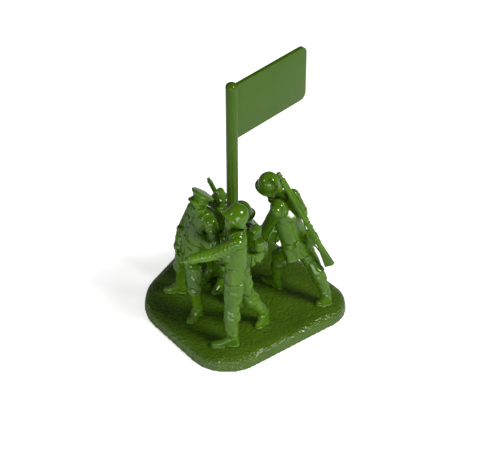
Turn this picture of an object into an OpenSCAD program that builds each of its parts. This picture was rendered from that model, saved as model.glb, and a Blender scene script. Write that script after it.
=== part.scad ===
// Moulded toy soldier group: five figures and a flag that plug into one base.
// X runs to the right of the group, Y to its back and Z up, from the middle of the base's underside.

/* [Base] */
// Depth of the base from front to back
base_l = 35.6; // [34:0.2:44]
// Height of the base
base_h = 2.1; // [1.9:0.1:3]
// How far the side wall leans in over its height
base_draft = 0.2; // [0.1:0.1:0.6]
// Radius that rounds the top edge
base_edge_r = 0.6; // [0.3:0.05:0.8]
// Least width of base round a peg's hole
base_rim = 0.8; // [0.6:0.1:1.2]

/* [Flag] */
// Height of the pole's top above the base's underside
flag_top = 44.1; // [39:0.1:48]
// Radius of the pole
pole_r = 0.9; // [0.8:0.05:1.05]
// Length of the flag plate from the pole's axis
flag_l = 15.9; // [12:0.1:17]
// Height of the flag plate
flag_h = 9.5; // [8:0.1:11]
// Thickness of the flag plate
flag_t = 0.7; // [0.5:0.05:1]
// Radius of the plate's free corners
flag_corner_r = 1.2; // [0.6:0.1:2]
// Height of the socket boss that holds the pole
boss_h = 1.5; // [1:0.1:2]
// Wall of the socket boss around its bore
boss_wall = 0.9; // [0.7:0.1:1.2]
// Radius of the pole's peg
pole_peg_r = 0.65; // [0.5:0.05:0.7]
// Length of the pole's peg
pole_peg_l = 3; // [2:0.1:3.2]

/* [Figures] */
// Height of a figure that stands upright
figure_h = 26; // [25:0.2:27]
// Radius of the chest at each shoulder
chest_r = 1.3; // [1.1:0.05:1.4]
// Radius of the waist at each side
waist_r = 1.45; // [1.3:0.05:1.55]
// Radius of the thigh
thigh_r = 1.45; // [1.3:0.05:1.55]
// Radius of the tunic's skirt at each hip
skirt_r = 1.65; // [1.5:0.05:1.75]
// Radius of the knee
knee_r = 1.2; // [1:0.05:1.3]
// Radius of the ankle
ankle_r = 0.8; // [0.7:0.05:0.9]
// Radius of the boot's toe
toe_r = 0.65; // [0.55:0.05:0.75]
// Radius of the upper arm
arm_r = 1.05; // [0.9:0.05:1.15]
// Radius of the sleeve at the elbow
elbow_r = 1; // [0.85:0.05:1.1]
// Radius of the wrist
wrist_r = 0.75; // [0.6:0.05:0.85]
// Radius of the hand
hand_r = 0.5; // [0.4:0.05:0.6]
// Radius of the skull
skull_r = 1.15; // [1:0.05:1.3]
// Radius of the neck
neck_r = 0.8; // [0.7:0.05:0.9]

/* [Headgear] */
// Radius of the helmet's bowl
helmet_r = 1.75; // [1.6:0.05:1.9]
// Height of the helmet's bowl above its rim
helmet_h = 1.9; // [1.7:0.05:2.1]
// How far the helmet's brim stands out
brim_out = 0.3; // [0.2:0.05:0.4]
// Wall of the helmet's brim
brim_t = 0.25; // [0.2:0.05:0.35]
// Radius of the peaked cap's crown
crown_r = 1.75; // [1.6:0.05:1.9]
// Height of the peaked cap
cap_h = 1.35; // [1.2:0.05:1.5]

/* [Fittings] */
// Radius of a foot peg
foot_peg_r = 0.42; // [0.35:0.01:0.45]
// Length of a foot peg below the boot
foot_peg_l = 1.3; // [1:0.1:1.5]
// Radius of the peg under each head
neck_peg_r = 0.45; // [0.35:0.05:0.5]
// Length of the peg under each head
neck_peg_l = 1.1; // [0.9:0.1:1.3]
// Radius of the peg at each waist and shoulder
body_peg_r = 0.4; // [0.3:0.05:0.45]
// Length of the peg at each waist and shoulder
body_peg_l = 0.9; // [0.7:0.1:1]
// Clearance around a peg, on the radius
peg_clearance = 0.04; // [0.02:0.01:0.06]
// Gap that the glue fills where two pieces of one figure meet
glue_gap = 0.03; // [0.02:0.01:0.05]
// Gap under the boots, the heads and the pole
seat_gap = 0.05; // [0.03:0.01:0.1]

/* [Gear] */
// Length of the leaning figure's rifle
rifle_l = 18; // [15:0.2:19]
// Length of the short carbine
carbine_l = 9; // [8:0.2:10]
// Radius of a rifle's barrel
barrel_r = 0.26; // [0.2:0.02:0.35]
// Depth of a rifle's stock
stock_d = 0.95; // [0.8:0.05:1.1]
// Thickness of a rifle's stock
stock_t = 0.6; // [0.5:0.05:0.8]
// Width of a field pack
pack_w = 2.9; // [2.5:0.1:3.3]
// Height of a field pack
pack_h = 3.4; // [3:0.1:3.8]
// Depth of a field pack
pack_d = 1.5; // [1.3:0.1:1.8]
// Radius that rounds a pack's edges
pack_edge_r = 0.4; // [0.3:0.05:0.5]
// Radius of the bedroll and of the ration tin
roll_r = 0.8; // [0.7:0.05:0.9]
// Radius of a water bottle
canteen_r = 0.9; // [0.8:0.05:1]
// Thickness of a water bottle
canteen_t = 0.9; // [0.8:0.05:1.1]
// Width of the holster
holster_w = 0.9; // [0.8:0.05:1]
// Height of the holster
holster_h = 2.6; // [2.2:0.1:3]

/* [Hidden] */

// Faces round a turned piece, round a limb and round a trunk
$fn = 48;
limb_sides = 12;
trunk_sides = 14;
// How far a cut runs past what it cuts
overrun = figure_h;

// The pole's place, in shares of the figures' height from the base's middle
flag_place_share = [-0.0726, -0.1314];
// Corner circles of the base: x, y and radius, in shares of its depth
base_corner_shares = [
    [-0.077, -0.307, 0.193],
    [0.308, -0.072, 0.151],
    [-0.074, 0.304, 0.196],
    [-0.207, -0.047, 0.252]
];
// Turn of the flag plate about the pole, seen from above
flag_turn = 46;

// Each figure, in shares of the figures' height: its place from the base's middle, then its body
// points from that place on the base's top
pointer_shares = [
    ["place", [-0.0151, -0.434]],
    ["belt", [-0.034, 0, 0.575]],
    ["left_waist", [-0.026, -0.045, 0.585]],
    ["right_waist", [-0.044, 0.04, 0.585]],
    ["left_shoulder", [-0.025, -0.06, 0.79]],
    ["right_shoulder", [-0.03, 0.055, 0.775]],
    ["neck", [-0.015, -0.002, 0.835]],
    ["head", [-0.03, -0.005, 0.91]],
    ["left_elbow", [-0.16, -0.1, 0.71]],
    ["left_wrist", [-0.29, -0.12, 0.69]],
    ["left_hand", [-0.34, -0.125, 0.685]],
    ["right_elbow", [0.0, 0.125, 0.63]],
    ["right_wrist", [-0.05, 0.12, 0.5]],
    ["right_hand", [-0.07, 0.115, 0.465]],
    ["left_hip", [-0.04, -0.045, 0.47]],
    ["right_hip", [-0.022, 0.045, 0.47]],
    ["left_knee", [-0.062, -0.08, 0.265]],
    ["right_knee", [0.03, 0.065, 0.26]],
    ["left_ankle", [-0.055, -0.095, 0.06]],
    ["right_ankle", [0.13, 0.1, 0.085]],
    ["left_toe", [-0.165, -0.105, 0.022]],
    ["right_toe", [0.1, 0.07, 0.022]],
    ["left_peg", [-0.08, -0.098, 0]],
    ["right_peg", [0.105, 0.075, 0]]
];
officer_shares = [
    ["place", [-0.3314, -0.1766]],
    ["belt", [0.015, -0.01, 0.55]],
    ["left_waist", [0.055, -0.04, 0.56]],
    ["right_waist", [-0.005, 0.03, 0.56]],
    ["left_shoulder", [0.11, -0.07, 0.735]],
    ["right_shoulder", [0.05, 0.035, 0.715]],
    ["neck", [0.065, -0.02, 0.795]],
    ["head", [0.07, -0.045, 0.858]],
    ["left_elbow", [0.16, -0.16, 0.6]],
    ["left_wrist", [0.08, -0.155, 0.665]],
    ["left_hand", [0.045, -0.145, 0.68]],
    ["right_elbow", [-0.035, 0.055, 0.57]],
    ["right_wrist", [-0.068, 0, 0.475]],
    ["right_hand", [-0.078, -0.03, 0.445]],
    ["left_hip", [0.02, -0.045, 0.45]],
    ["right_hip", [-0.02, 0.045, 0.45]],
    ["left_knee", [0.03, -0.12, 0.25]],
    ["right_knee", [-0.06, 0.1, 0.245]],
    ["left_ankle", [0.045, -0.085, 0.06]],
    ["right_ankle", [-0.065, 0.135, 0.06]],
    ["left_toe", [0.0, -0.14, 0.022]],
    ["right_toe", [-0.15, 0.14, 0.022]],
    ["left_peg", [0.028, -0.108, 0]],
    ["right_peg", [-0.09, 0.137, 0]]
];
rifleman_shares = [
    ["place", [-0.1616, 0.0767]],
    ["belt", [0, 0, 0.475]],
    ["left_waist", [0.03, -0.035, 0.485]],
    ["right_waist", [-0.035, 0.015, 0.485]],
    ["left_shoulder", [0.05, -0.085, 0.59]],
    ["right_shoulder", [-0.06, -0.005, 0.59]],
    ["neck", [0, -0.055, 0.641]],
    ["head", [0.005, -0.08, 0.71]],
    ["left_elbow", [0.06, -0.12, 0.46]],
    ["left_wrist", [-0.035, -0.175, 0.4]],
    ["left_hand", [-0.065, -0.18, 0.39]],
    ["right_elbow", [-0.14, 0.005, 0.475]],
    ["right_wrist", [-0.14, -0.06, 0.4]],
    ["right_hand", [-0.13, -0.09, 0.38]],
    ["left_hip", [0.035, -0.03, 0.41]],
    ["right_hip", [-0.035, 0.03, 0.41]],
    ["left_knee", [0.015, -0.09, 0.25]],
    ["right_knee", [-0.075, -0.005, 0.245]],
    ["left_ankle", [0.03, -0.045, 0.06]],
    ["right_ankle", [-0.04, 0.045, 0.06]],
    ["left_toe", [-0.025, -0.125, 0.022]],
    ["right_toe", [-0.11, -0.025, 0.022]],
    ["left_peg", [0.015, -0.065, 0]],
    ["right_peg", [-0.06, 0.025, 0]]
];
croucher_shares = [
    ["place", [0.0233, 0.2533]],
    ["belt", [0.03, 0.005, 0.2]],
    ["left_waist", [0.045, -0.035, 0.21]],
    ["right_waist", [0.03, 0.05, 0.21]],
    ["left_shoulder", [-0.02, -0.075, 0.3]],
    ["right_shoulder", [-0.045, 0.06, 0.3]],
    ["neck", [-0.04, -0.01, 0.355]],
    ["head", [-0.045, -0.02, 0.415]],
    ["left_elbow", [-0.04, -0.165, 0.21]],
    ["left_wrist", [-0.13, -0.165, 0.22]],
    ["left_hand", [-0.165, -0.155, 0.225]],
    ["right_elbow", [-0.08, 0.145, 0.21]],
    ["right_wrist", [-0.165, 0.11, 0.225]],
    ["right_hand", [-0.2, 0.1, 0.23]],
    ["left_hip", [0.06, -0.035, 0.13]],
    ["right_hip", [0.045, 0.05, 0.13]],
    ["left_knee", [-0.11, -0.08, 0.22]],
    ["right_knee", [-0.125, 0.035, 0.22]],
    ["left_ankle", [-0.02, -0.075, 0.06]],
    ["right_ankle", [-0.035, 0.065, 0.06]],
    ["left_toe", [-0.115, -0.1, 0.022]],
    ["right_toe", [-0.135, 0.035, 0.022]],
    ["left_peg", [-0.045, -0.08, 0]],
    ["right_peg", [-0.06, 0.057, 0]]
];
leaner_shares = [
    ["place", [0.3231, -0.0616]],
    ["belt", [-0.025, 0.01, 0.435]],
    ["left_waist", [-0.05, -0.03, 0.445]],
    ["right_waist", [-0.005, 0.04, 0.445]],
    ["left_shoulder", [-0.12, 0.005, 0.68]],
    ["right_shoulder", [-0.085, 0.1, 0.67]],
    ["neck", [-0.148, 0.07, 0.72]],
    ["head", [-0.178, 0.1, 0.785]],
    ["left_elbow", [-0.205, 0.023, 0.468]],
    ["left_wrist", [-0.207, 0.15, 0.4]],
    ["left_hand", [-0.215, 0.175, 0.365]],
    ["right_elbow", [-0.1, 0.205, 0.53]],
    ["right_wrist", [-0.165, 0.235, 0.42]],
    ["right_hand", [-0.195, 0.24, 0.385]],
    ["left_hip", [-0.03, -0.02, 0.37]],
    ["right_hip", [0.02, 0.03, 0.37]],
    ["left_knee", [-0.115, 0.068, 0.255]],
    ["right_knee", [0.12, -0.065, 0.235]],
    ["left_ankle", [-0.122, 0.07, 0.06]],
    ["right_ankle", [0.175, -0.095, 0.075]],
    ["left_toe", [-0.2, 0.135, 0.022]],
    ["right_toe", [0.14, -0.1, 0.022]],
    ["left_peg", [-0.146, 0.089, 0]],
    ["right_peg", [0.15, -0.1, 0]]
];
// Middles of the packs and pouches, then the ends of the slung guns and of the bedroll, in shares
// of the bearer's height from the bearer's place
pointer_pack_share = [0.07, 0.07, 0.695];
ration_tin_share = [0.1, 0.01, 0.69];
pointer_canteen_share = [0.095, 0.015, 0.6];
bread_bag_share = [0.04, 0.01, 0.585];
holster_share = [0.115, -0.03, 0.46];
croucher_pack_share = [0.145, -0.02, 0.245];
leaner_canteen_share = [0.076, 0.003, 0.447];
leaner_bag_share = [0.07, -0.003, 0.408];
carbine_butt_share = [0.065, 0.08, 0.43];
carbine_muzzle_share = [-0.05, 0.06, 0.73];
rifle_butt_share = [0.205, -0.1, 0.325];
rifle_muzzle_share = [-0.135, 0.03, 0.93];
bedroll_low_share = [0.02, 0.018, 0.625];
bedroll_high_share = [-0.035, 0.052, 0.74];
men_shares = [pointer_shares, officer_shares, rifleman_shares, croucher_shares, leaner_shares];
sides = ["left", "right"];

// Looks a named row up in a figure's table
function row_shares(man, name) = man[search([name], man)[0]][1];
// The figure's place on the base's top
function place_of(man) = concat(figure_h * row_shares(man, "place"), base_h);
// A body point of the figure
function spot(man, name) = place_of(man) + figure_h * row_shares(man, name);
// A point on a figure's own scale that no body point names
function beside(man, share) = place_of(man) + figure_h * share;
function middle(a, b) = (a + b) / 2;
function shoulder(man, side) = spot(man, str(side, "_shoulder"));
// Direction from the figure's middle out through one shoulder
function outward(man, side) =
    let (across = shoulder(man, side) - middle(shoulder(man, "left"), shoulder(man, "right")))
    across / norm(across);
// The point where an arm's own ball sits, outside the chest
function arm_root(man, side) = shoulder(man, side) + chest_r * outward(man, side);

// A bar with round ends
module limb(a, b, ra, rb) {
    hull() {
        translate(a) sphere(ra, $fn = limb_sides);
        translate(b) sphere(rb, $fn = limb_sides);
    }
}

// A straight round pin from one point along a direction
module pin(from, direction, r, l) {
    turn = atan2(direction[1], direction[0]);
    lean = acos(direction[2] / norm(direction));
    translate(from) rotate([0, lean, turn]) cylinder(r = r, h = l);
}

// Everything above a height, or below it
module above(z) {
    translate([-overrun, -overrun, z]) cube([2, 2, 2] * overrun);
}
module below(z) {
    translate([-overrun, -overrun, z - 2 * overrun]) cube([2, 2, 2] * overrun);
}

// The trunk's outer form, which the arms and the gear are seated on
module trunk(man, grow = 0) {
    hull() for (side = sides) {
        translate(shoulder(man, side)) sphere(chest_r + grow, $fn = trunk_sides);
        translate(spot(man, str(side, "_waist"))) sphere(waist_r + grow, $fn = trunk_sides);
    }
}

// The tunic's skirt round the hips
module hips(man, grow = 0) {
    hull() for (side = sides) {
        translate(spot(man, str(side, "_hip"))) sphere(skirt_r + grow, $fn = trunk_sides);
        translate(spot(man, str(side, "_waist"))) sphere(waist_r + grow, $fn = trunk_sides);
    }
}

// A torso from the belt up, with its collar, waist peg, neck socket and shoulder sockets
module torso(man) {
    belt = spot(man, "belt");
    neck = spot(man, "neck");
    socket_l = body_peg_l + seat_gap + chest_r;
    difference() {
        union() {
            trunk(man);
            translate(neck - [0, 0, 2 * neck_r]) cylinder(r = neck_r + glue_gap, h = 2 * neck_r);
        }
        below(belt[2]);
        translate(neck - [0, 0, neck_peg_l + seat_gap])
            cylinder(r = neck_peg_r + peg_clearance, h = overrun);
        for (side = sides)
            pin(arm_root(man, side), -outward(man, side), body_peg_r + peg_clearance, socket_l);
    }
    translate(belt - [0, 0, body_peg_l]) cylinder(r = body_peg_r, h = body_peg_l + body_peg_r);
}

// A whole leg: thigh, shin and boot
module leg(man, side) {
    knee = spot(man, str(side, "_knee"));
    ankle = spot(man, str(side, "_ankle"));
    toe = spot(man, str(side, "_toe"));
    leg_top(man, side);
    limb(knee, ankle, knee_r, ankle_r);
    limb(ankle - [0, 0, ankle_r / 2], toe, ankle_r, toe_r);
}

// The thigh alone
module leg_top(man, side, grow = 0) {
    limb(spot(man, str(side, "_hip")), spot(man, str(side, "_knee")), thigh_r + grow, knee_r + grow);
}

// Both legs, with the tunic's skirt, the waist socket and the foot pegs
module legs(man) {
    belt = spot(man, "belt");
    difference() {
        union() {
            hips(man);
            for (side = sides) leg(man, side);
        }
        above(belt[2]);
        below(base_h + seat_gap);
        translate(belt - [0, 0, body_peg_l + seat_gap])
            cylinder(r = body_peg_r + peg_clearance, h = overrun);
    }
    for (side = sides)
        translate(spot(man, str(side, "_peg")) - [0, 0, foot_peg_l])
            cylinder(r = foot_peg_r, h = foot_peg_l + toe_r);
}

// The upper arm's sleeve
module upper_arm(man, side, grow = 0) {
    limb(arm_root(man, side), spot(man, str(side, "_elbow")), arm_r + grow, elbow_r + grow);
}

// A whole arm, cut to seat on the trunk, with its shoulder peg
module arm(man, side) {
    root = arm_root(man, side);
    elbow = spot(man, str(side, "_elbow"));
    wrist = spot(man, str(side, "_wrist"));
    hand = spot(man, str(side, "_hand"));
    difference() {
        union() {
            upper_arm(man, side);
            limb(elbow, wrist, elbow_r, wrist_r);
            limb(wrist, hand, hand_r, hand_r);
        }
        trunk(man, glue_gap);
        hips(man, glue_gap);
    }
    pin(root, -outward(man, side), body_peg_r, body_peg_l + chest_r);
}

// The skull and chin on a neck whose peg turns in the collar
module face(man, chin) {
    neck = spot(man, "neck");
    head = spot(man, "head");
    hull() {
        translate(head) sphere(skull_r, $fn = trunk_sides);
        translate(head + chin) sphere(skull_r * 0.55, $fn = trunk_sides);
    }
    translate(neck + [0, 0, seat_gap]) cylinder(r = neck_r, h = head[2] - neck[2]);
    translate(neck - [0, 0, neck_peg_l]) cylinder(r = neck_peg_r, h = neck_peg_l + skull_r);
}

// A steel helmet over the skull: a bowl with a flared brim
module helmet(man, tilt) {
    bowl_steps = 8;
    translate(spot(man, "head")) rotate(tilt) rotate_extrude() polygon(concat(
        [[0, 0], [helmet_r - brim_t, 0], [helmet_r - brim_t, -brim_out]],
        [[helmet_r + brim_out, -brim_out - brim_t], [helmet_r + brim_out, -brim_out]],
        [for (i = [0 : bowl_steps])
            [helmet_r * cos(90 * i / bowl_steps), helmet_h * sin(90 * i / bowl_steps)]]
    ));
}

// A peaked cap: a wide crown on a band, with a peak over the brow
module peaked_cap(man, tilt, peak_turn) {
    band_r = skull_r + brim_t;
    translate(spot(man, "head")) rotate(tilt) {
        rotate_extrude() polygon([
            [0, 0], [band_r, 0], [band_r, cap_h * 0.35], [crown_r, cap_h * 0.75],
            [crown_r * 0.96, cap_h * 0.92], [crown_r * 0.6, cap_h], [0, cap_h]
        ]);
        rotate([0, 0, peak_turn]) translate([band_r * 0.7, 0, -brim_out / 2])
            intersection() {
                cylinder(r = band_r, h = brim_t);
                translate([0, -band_r, 0]) cube([band_r, 2 * band_r, brim_t]);
            }
    }
}

// A narrow folded side cap: a boat-shaped body that closes to a soft ridge from brow to nape
module side_cap(man, turn, tilt) {
    translate(spot(man, "head")) rotate([0, 0, turn]) rotate(tilt) hull() {
        for (x = [-skull_r * 0.35, skull_r * 0.45])
            translate([x, 0, 0]) cylinder(r = skull_r * 0.95, h = brim_t);
        for (x = [-skull_r * 0.45, skull_r * 0.5])
            translate([x, 0, cap_h * 0.75]) sphere(skull_r * 0.5, $fn = limb_sides);
    }
}

// A box with rounded edges, standing on its middle
module round_box(w, d, h, r) {
    hull() for (x = [-1, 1], y = [-1, 1], z = [-1, 1])
        translate([x * (w / 2 - r), y * (d / 2 - r), z * (h / 2 - r)]) sphere(r, $fn = limb_sides / 2);
}

// A rifle along +X from its butt, with barrel, stock and bolt
module long_gun(l) {
    stock_l = l * 0.62;
    butt_l = l * 0.24;
    translate([0, stock_t / 2, 0]) rotate([90, 0, 0]) linear_extrude(stock_t) polygon([
        [0, -stock_d], [butt_l * 0.9, -stock_d * 0.45],
        [butt_l * 1.25, -stock_d * 0.5], [stock_l, -stock_d * 0.2],
        [stock_l, stock_d * 0.2], [butt_l * 1.2, stock_d * 0.3],
        [butt_l * 0.8, stock_d * 0.1], [0, stock_d * 0.25]
    ]);
    translate([butt_l, 0, 0]) rotate([0, 90, 0]) cylinder(r = barrel_r, h = l - butt_l);
    translate([l - barrel_r * 3, 0, 0]) cylinder(r = barrel_r / 2, h = barrel_r * 2);
    translate([butt_l * 1.35, 0, 0]) rotate([-90, 0, 0]) cylinder(r = barrel_r * 0.6, h = stock_d * 0.8);
}

// Lays a piece that runs along +X between two points
module laid(from, to, roll = 0) {
    run = to - from;
    translate(from) rotate([0, 0, atan2(run[1], run[0])]) rotate([0, -asin(run[2] / norm(run)), 0])
        rotate([roll, 0, 0]) children();
}

// A round slab with the base's leaning wall and rounded top edge
module slab(r) {
    top_r = r - base_draft;
    rotate_extrude($fn = 64) polygon(concat(
        [[0, 0], [r, 0]],
        [for (a = [0 : 22.5 : 90])
            [top_r - base_edge_r * (1 - cos(a)), base_h - base_edge_r * (1 - sin(a))]],
        [[0, base_h]]
    ));
}

// The base covers its corners and at least a rim round every foot peg
module base() {
    color("darkolivegreen") difference() {
        union() {
            hull() {
                for (corner = base_corner_shares)
                    translate(base_l * [corner[0], corner[1], 0]) slab(base_l * corner[2]);
                for (man = men_shares, side = sides)
                    translate(spot(man, str(side, "_peg")) - [0, 0, base_h])
                        slab(foot_peg_r + base_rim + base_draft);
            }
            translate(concat(figure_h * flag_place_share, base_h - base_edge_r))
                cylinder(r = pole_peg_r + boss_wall, h = boss_h + base_edge_r);
        }
        translate(concat(figure_h * flag_place_share, base_h + boss_h - pole_peg_l - seat_gap))
            cylinder(r = pole_peg_r + peg_clearance, h = overrun);
        for (man = men_shares, side = sides)
            translate(spot(man, str(side, "_peg")) - [0, 0, foot_peg_l + seat_gap])
                cylinder(r = foot_peg_r + peg_clearance, h = overrun);
    }
}

module flag() {
    foot = base_h + boss_h;
    dome_h = pole_r * 0.7;
    color("olivedrab") translate(figure_h * flag_place_share) {
        rotate_extrude() polygon(concat(
            [[0, foot + seat_gap], [pole_r, foot + seat_gap]],
            [for (a = [0 : 15 : 90]) [pole_r * cos(a), flag_top - dome_h * (1 - sin(a))]]
        ));
        translate([0, 0, foot - pole_peg_l]) cylinder(r = pole_peg_r, h = pole_peg_l + pole_r);
        rotate([0, 0, flag_turn]) translate([0, flag_t / 2, flag_top - dome_h - flag_h]) rotate([90, 0, 0])
            linear_extrude(flag_t) union() {
                square([flag_l - flag_corner_r, flag_h]);
                translate([0, flag_corner_r]) square([flag_l, flag_h - 2 * flag_corner_r]);
                for (y = [flag_corner_r, flag_h - flag_corner_r])
                    translate([flag_l - flag_corner_r, y]) circle(flag_corner_r);
            }
    }
}

module pointer_legs() { color("yellowgreen") legs(pointer_shares); }
module pointer_torso() { color("olivedrab") torso(pointer_shares); }
module pointer_left_arm() { color("yellowgreen") arm(pointer_shares, "left"); }
module pointer_right_arm() { color("olivedrab") arm(pointer_shares, "right"); }
module pointer_head() {
    color("yellowgreen") {
        face(pointer_shares, [-0.7, -0.3, -0.7] * skull_r);
        helmet(pointer_shares, [-7, 17, 0]);
    }
}
// A haversack under a mess tin, with a ration tin beside them
module pointer_pack() {
    color("olivedrab") difference() {
        union() {
            translate(beside(pointer_shares, pointer_pack_share)) rotate([0, 0, 60]) {
                round_box(pack_w * 0.8, pack_d, pack_h * 0.7, pack_edge_r);
                translate([0, 0, pack_h * 0.35]) rotate([0, 90, 0])
                    cylinder(r = roll_r, h = pack_w * 0.7, center = true);
            }
            translate(beside(pointer_shares, ration_tin_share))
                cylinder(r = roll_r, h = roll_r * 2, center = true);
        }
        trunk(pointer_shares, glue_gap);
        upper_arm(pointer_shares, "right", glue_gap);
        upper_arm(pointer_shares, "left", glue_gap);
    }
}
// A water bottle on a bread bag
module pointer_canteen() {
    color("yellowgreen") difference() {
        union() {
            translate(beside(pointer_shares, pointer_canteen_share)) rotate([90, 0, 40])
                cylinder(r = canteen_r, h = canteen_t, center = true);
            translate(beside(pointer_shares, bread_bag_share))
                round_box(pack_w * 0.7, pack_d * 0.8, pack_h * 0.7, pack_edge_r);
        }
        trunk(pointer_shares, glue_gap);
        hips(pointer_shares, glue_gap);
    }
}

module officer_legs() { color("olivedrab") legs(officer_shares); }
module officer_torso() { color("darkolivegreen") torso(officer_shares); }
module officer_left_arm() { color("yellowgreen") arm(officer_shares, "left"); }
module officer_right_arm() { color("olivedrab") arm(officer_shares, "right"); }
module officer_head() {
    color("yellowgreen") {
        face(officer_shares, [-0.35, -0.35, -0.7] * skull_r);
        peaked_cap(officer_shares, [-14, 28, 0], -152);
    }
}
// A pistol holster that hangs from the belt
module officer_holster() {
    color("darkolivegreen") difference() {
        translate(beside(officer_shares, holster_share))
            round_box(holster_w, holster_w, holster_h, pack_edge_r);
        trunk(officer_shares, glue_gap);
        hips(officer_shares, glue_gap);
        leg_top(officer_shares, "left", glue_gap);
    }
}

module rifleman_legs() { color("darkolivegreen") legs(rifleman_shares); }
module rifleman_torso() { color("darkolivegreen") torso(rifleman_shares); }
module rifleman_left_arm() { color("olivedrab") arm(rifleman_shares, "left"); }
module rifleman_right_arm() { color("olivedrab") arm(rifleman_shares, "right"); }
module rifleman_head() {
    color("olivedrab") {
        face(rifleman_shares, [-0.25, -0.5, -0.65] * skull_r);
        side_cap(rifleman_shares, -116, [0, -6, 0]);
    }
}
module rifleman_carbine() {
    from = beside(rifleman_shares, carbine_butt_share);
    along = beside(rifleman_shares, carbine_muzzle_share) - from;
    color("olivedrab") difference() {
        laid(from, from + along, 180) long_gun(carbine_l);
        trunk(rifleman_shares, glue_gap);
        upper_arm(rifleman_shares, "right", glue_gap);
    }
}

module croucher_legs() { color("darkolivegreen") legs(croucher_shares); }
module croucher_torso() { color("darkolivegreen") torso(croucher_shares); }
module croucher_left_arm() { color("olivedrab") arm(croucher_shares, "left"); }
module croucher_right_arm() { color("olivedrab") arm(croucher_shares, "right"); }
module croucher_head() {
    color("darkolivegreen") {
        face(croucher_shares, [-0.6, -0.15, -0.55] * skull_r);
        helmet(croucher_shares, [0, -14, 0]);
    }
}
// A square field pack
module croucher_pack() {
    color("darkolivegreen") difference() {
        translate(beside(croucher_shares, croucher_pack_share)) rotate([0, 12, 10])
            round_box(pack_w, pack_w * 0.8, pack_h * 0.8, pack_edge_r);
        trunk(croucher_shares, glue_gap);
        hips(croucher_shares, glue_gap);
    }
}

module leaner_legs() { color("olivedrab") legs(leaner_shares); }
module leaner_torso() { color("olivedrab") torso(leaner_shares); }
module leaner_left_arm() { color("olivedrab") arm(leaner_shares, "left"); }
module leaner_right_arm() { color("darkolivegreen") arm(leaner_shares, "right"); }
module leaner_head() {
    color("olivedrab") {
        face(leaner_shares, [-0.55, 0.35, -0.6] * skull_r);
        helmet(leaner_shares, [17, -7, 0]);
    }
}
// The rifle slung across the leaning figure's back, butt down
module leaner_rifle() {
    from = beside(leaner_shares, rifle_butt_share);
    along = beside(leaner_shares, rifle_muzzle_share) - from;
    color("yellowgreen") difference() {
        laid(from, from + along, 0) long_gun(rifle_l);
        trunk(leaner_shares, glue_gap);
    }
}
module leaner_bedroll() {
    low = beside(leaner_shares, bedroll_low_share);
    high = beside(leaner_shares, bedroll_high_share);
    color("olivedrab") difference() {
        limb(low, high, roll_r * 1.2, roll_r * 1.2);
        trunk(leaner_shares, glue_gap);
    }
}
// A water bottle above a small pouch
module leaner_canteen() {
    color("yellowgreen") difference() {
        union() {
            translate(beside(leaner_shares, leaner_canteen_share)) rotate([75, 0, 50])
                cylinder(r = canteen_r, h = canteen_t * 1.3, center = true);
            translate(beside(leaner_shares, leaner_bag_share)) rotate([0, 0, 50])
                round_box(pack_w * 0.6, pack_d * 0.8, pack_h * 0.36, pack_edge_r);
        }
        trunk(leaner_shares, glue_gap);
        hips(leaner_shares, glue_gap);
    }
}

base();
flag();
pointer_legs();
pointer_torso();
pointer_left_arm();
pointer_right_arm();
pointer_head();
pointer_pack();
pointer_canteen();
officer_legs();
officer_torso();
officer_left_arm();
officer_right_arm();
officer_head();
officer_holster();
rifleman_legs();
rifleman_torso();
rifleman_left_arm();
rifleman_right_arm();
rifleman_head();
rifleman_carbine();
croucher_legs();
croucher_torso();
croucher_left_arm();
croucher_right_arm();
croucher_head();
croucher_pack();
leaner_legs();
leaner_torso();
leaner_left_arm();
leaner_right_arm();
leaner_head();
leaner_rifle();
leaner_bedroll();
leaner_canteen();
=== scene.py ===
# A moulded plastic group of toy soldiers round a flag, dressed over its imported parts
import math

import bpy
from mathutils import Matrix, Vector
from mathutils.bvhtree import BVHTree
from mathutils.kdtree import KDTree


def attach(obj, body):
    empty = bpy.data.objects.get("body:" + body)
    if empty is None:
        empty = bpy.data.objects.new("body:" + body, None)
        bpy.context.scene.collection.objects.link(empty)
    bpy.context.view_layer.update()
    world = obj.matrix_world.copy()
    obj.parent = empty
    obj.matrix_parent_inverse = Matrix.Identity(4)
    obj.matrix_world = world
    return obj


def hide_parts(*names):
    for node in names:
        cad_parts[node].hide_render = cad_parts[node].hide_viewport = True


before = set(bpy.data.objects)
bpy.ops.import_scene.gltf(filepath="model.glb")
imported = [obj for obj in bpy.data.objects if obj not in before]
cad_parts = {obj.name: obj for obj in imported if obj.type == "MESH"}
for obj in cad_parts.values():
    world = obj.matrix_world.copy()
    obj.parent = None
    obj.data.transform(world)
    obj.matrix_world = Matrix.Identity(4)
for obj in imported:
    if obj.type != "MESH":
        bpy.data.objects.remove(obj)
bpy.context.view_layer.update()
bpy.ops.object.select_all(action="DESELECT")

# Everything is modelled in millimetres and made metres when it is handed over
group = {"height": 26.0, "deck": 2.1, "lift": 0.05, "chest": 1.3, "waist": 1.45, "voxel": 0.075, "outside": 8,
         "metre": 0.001}

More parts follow.
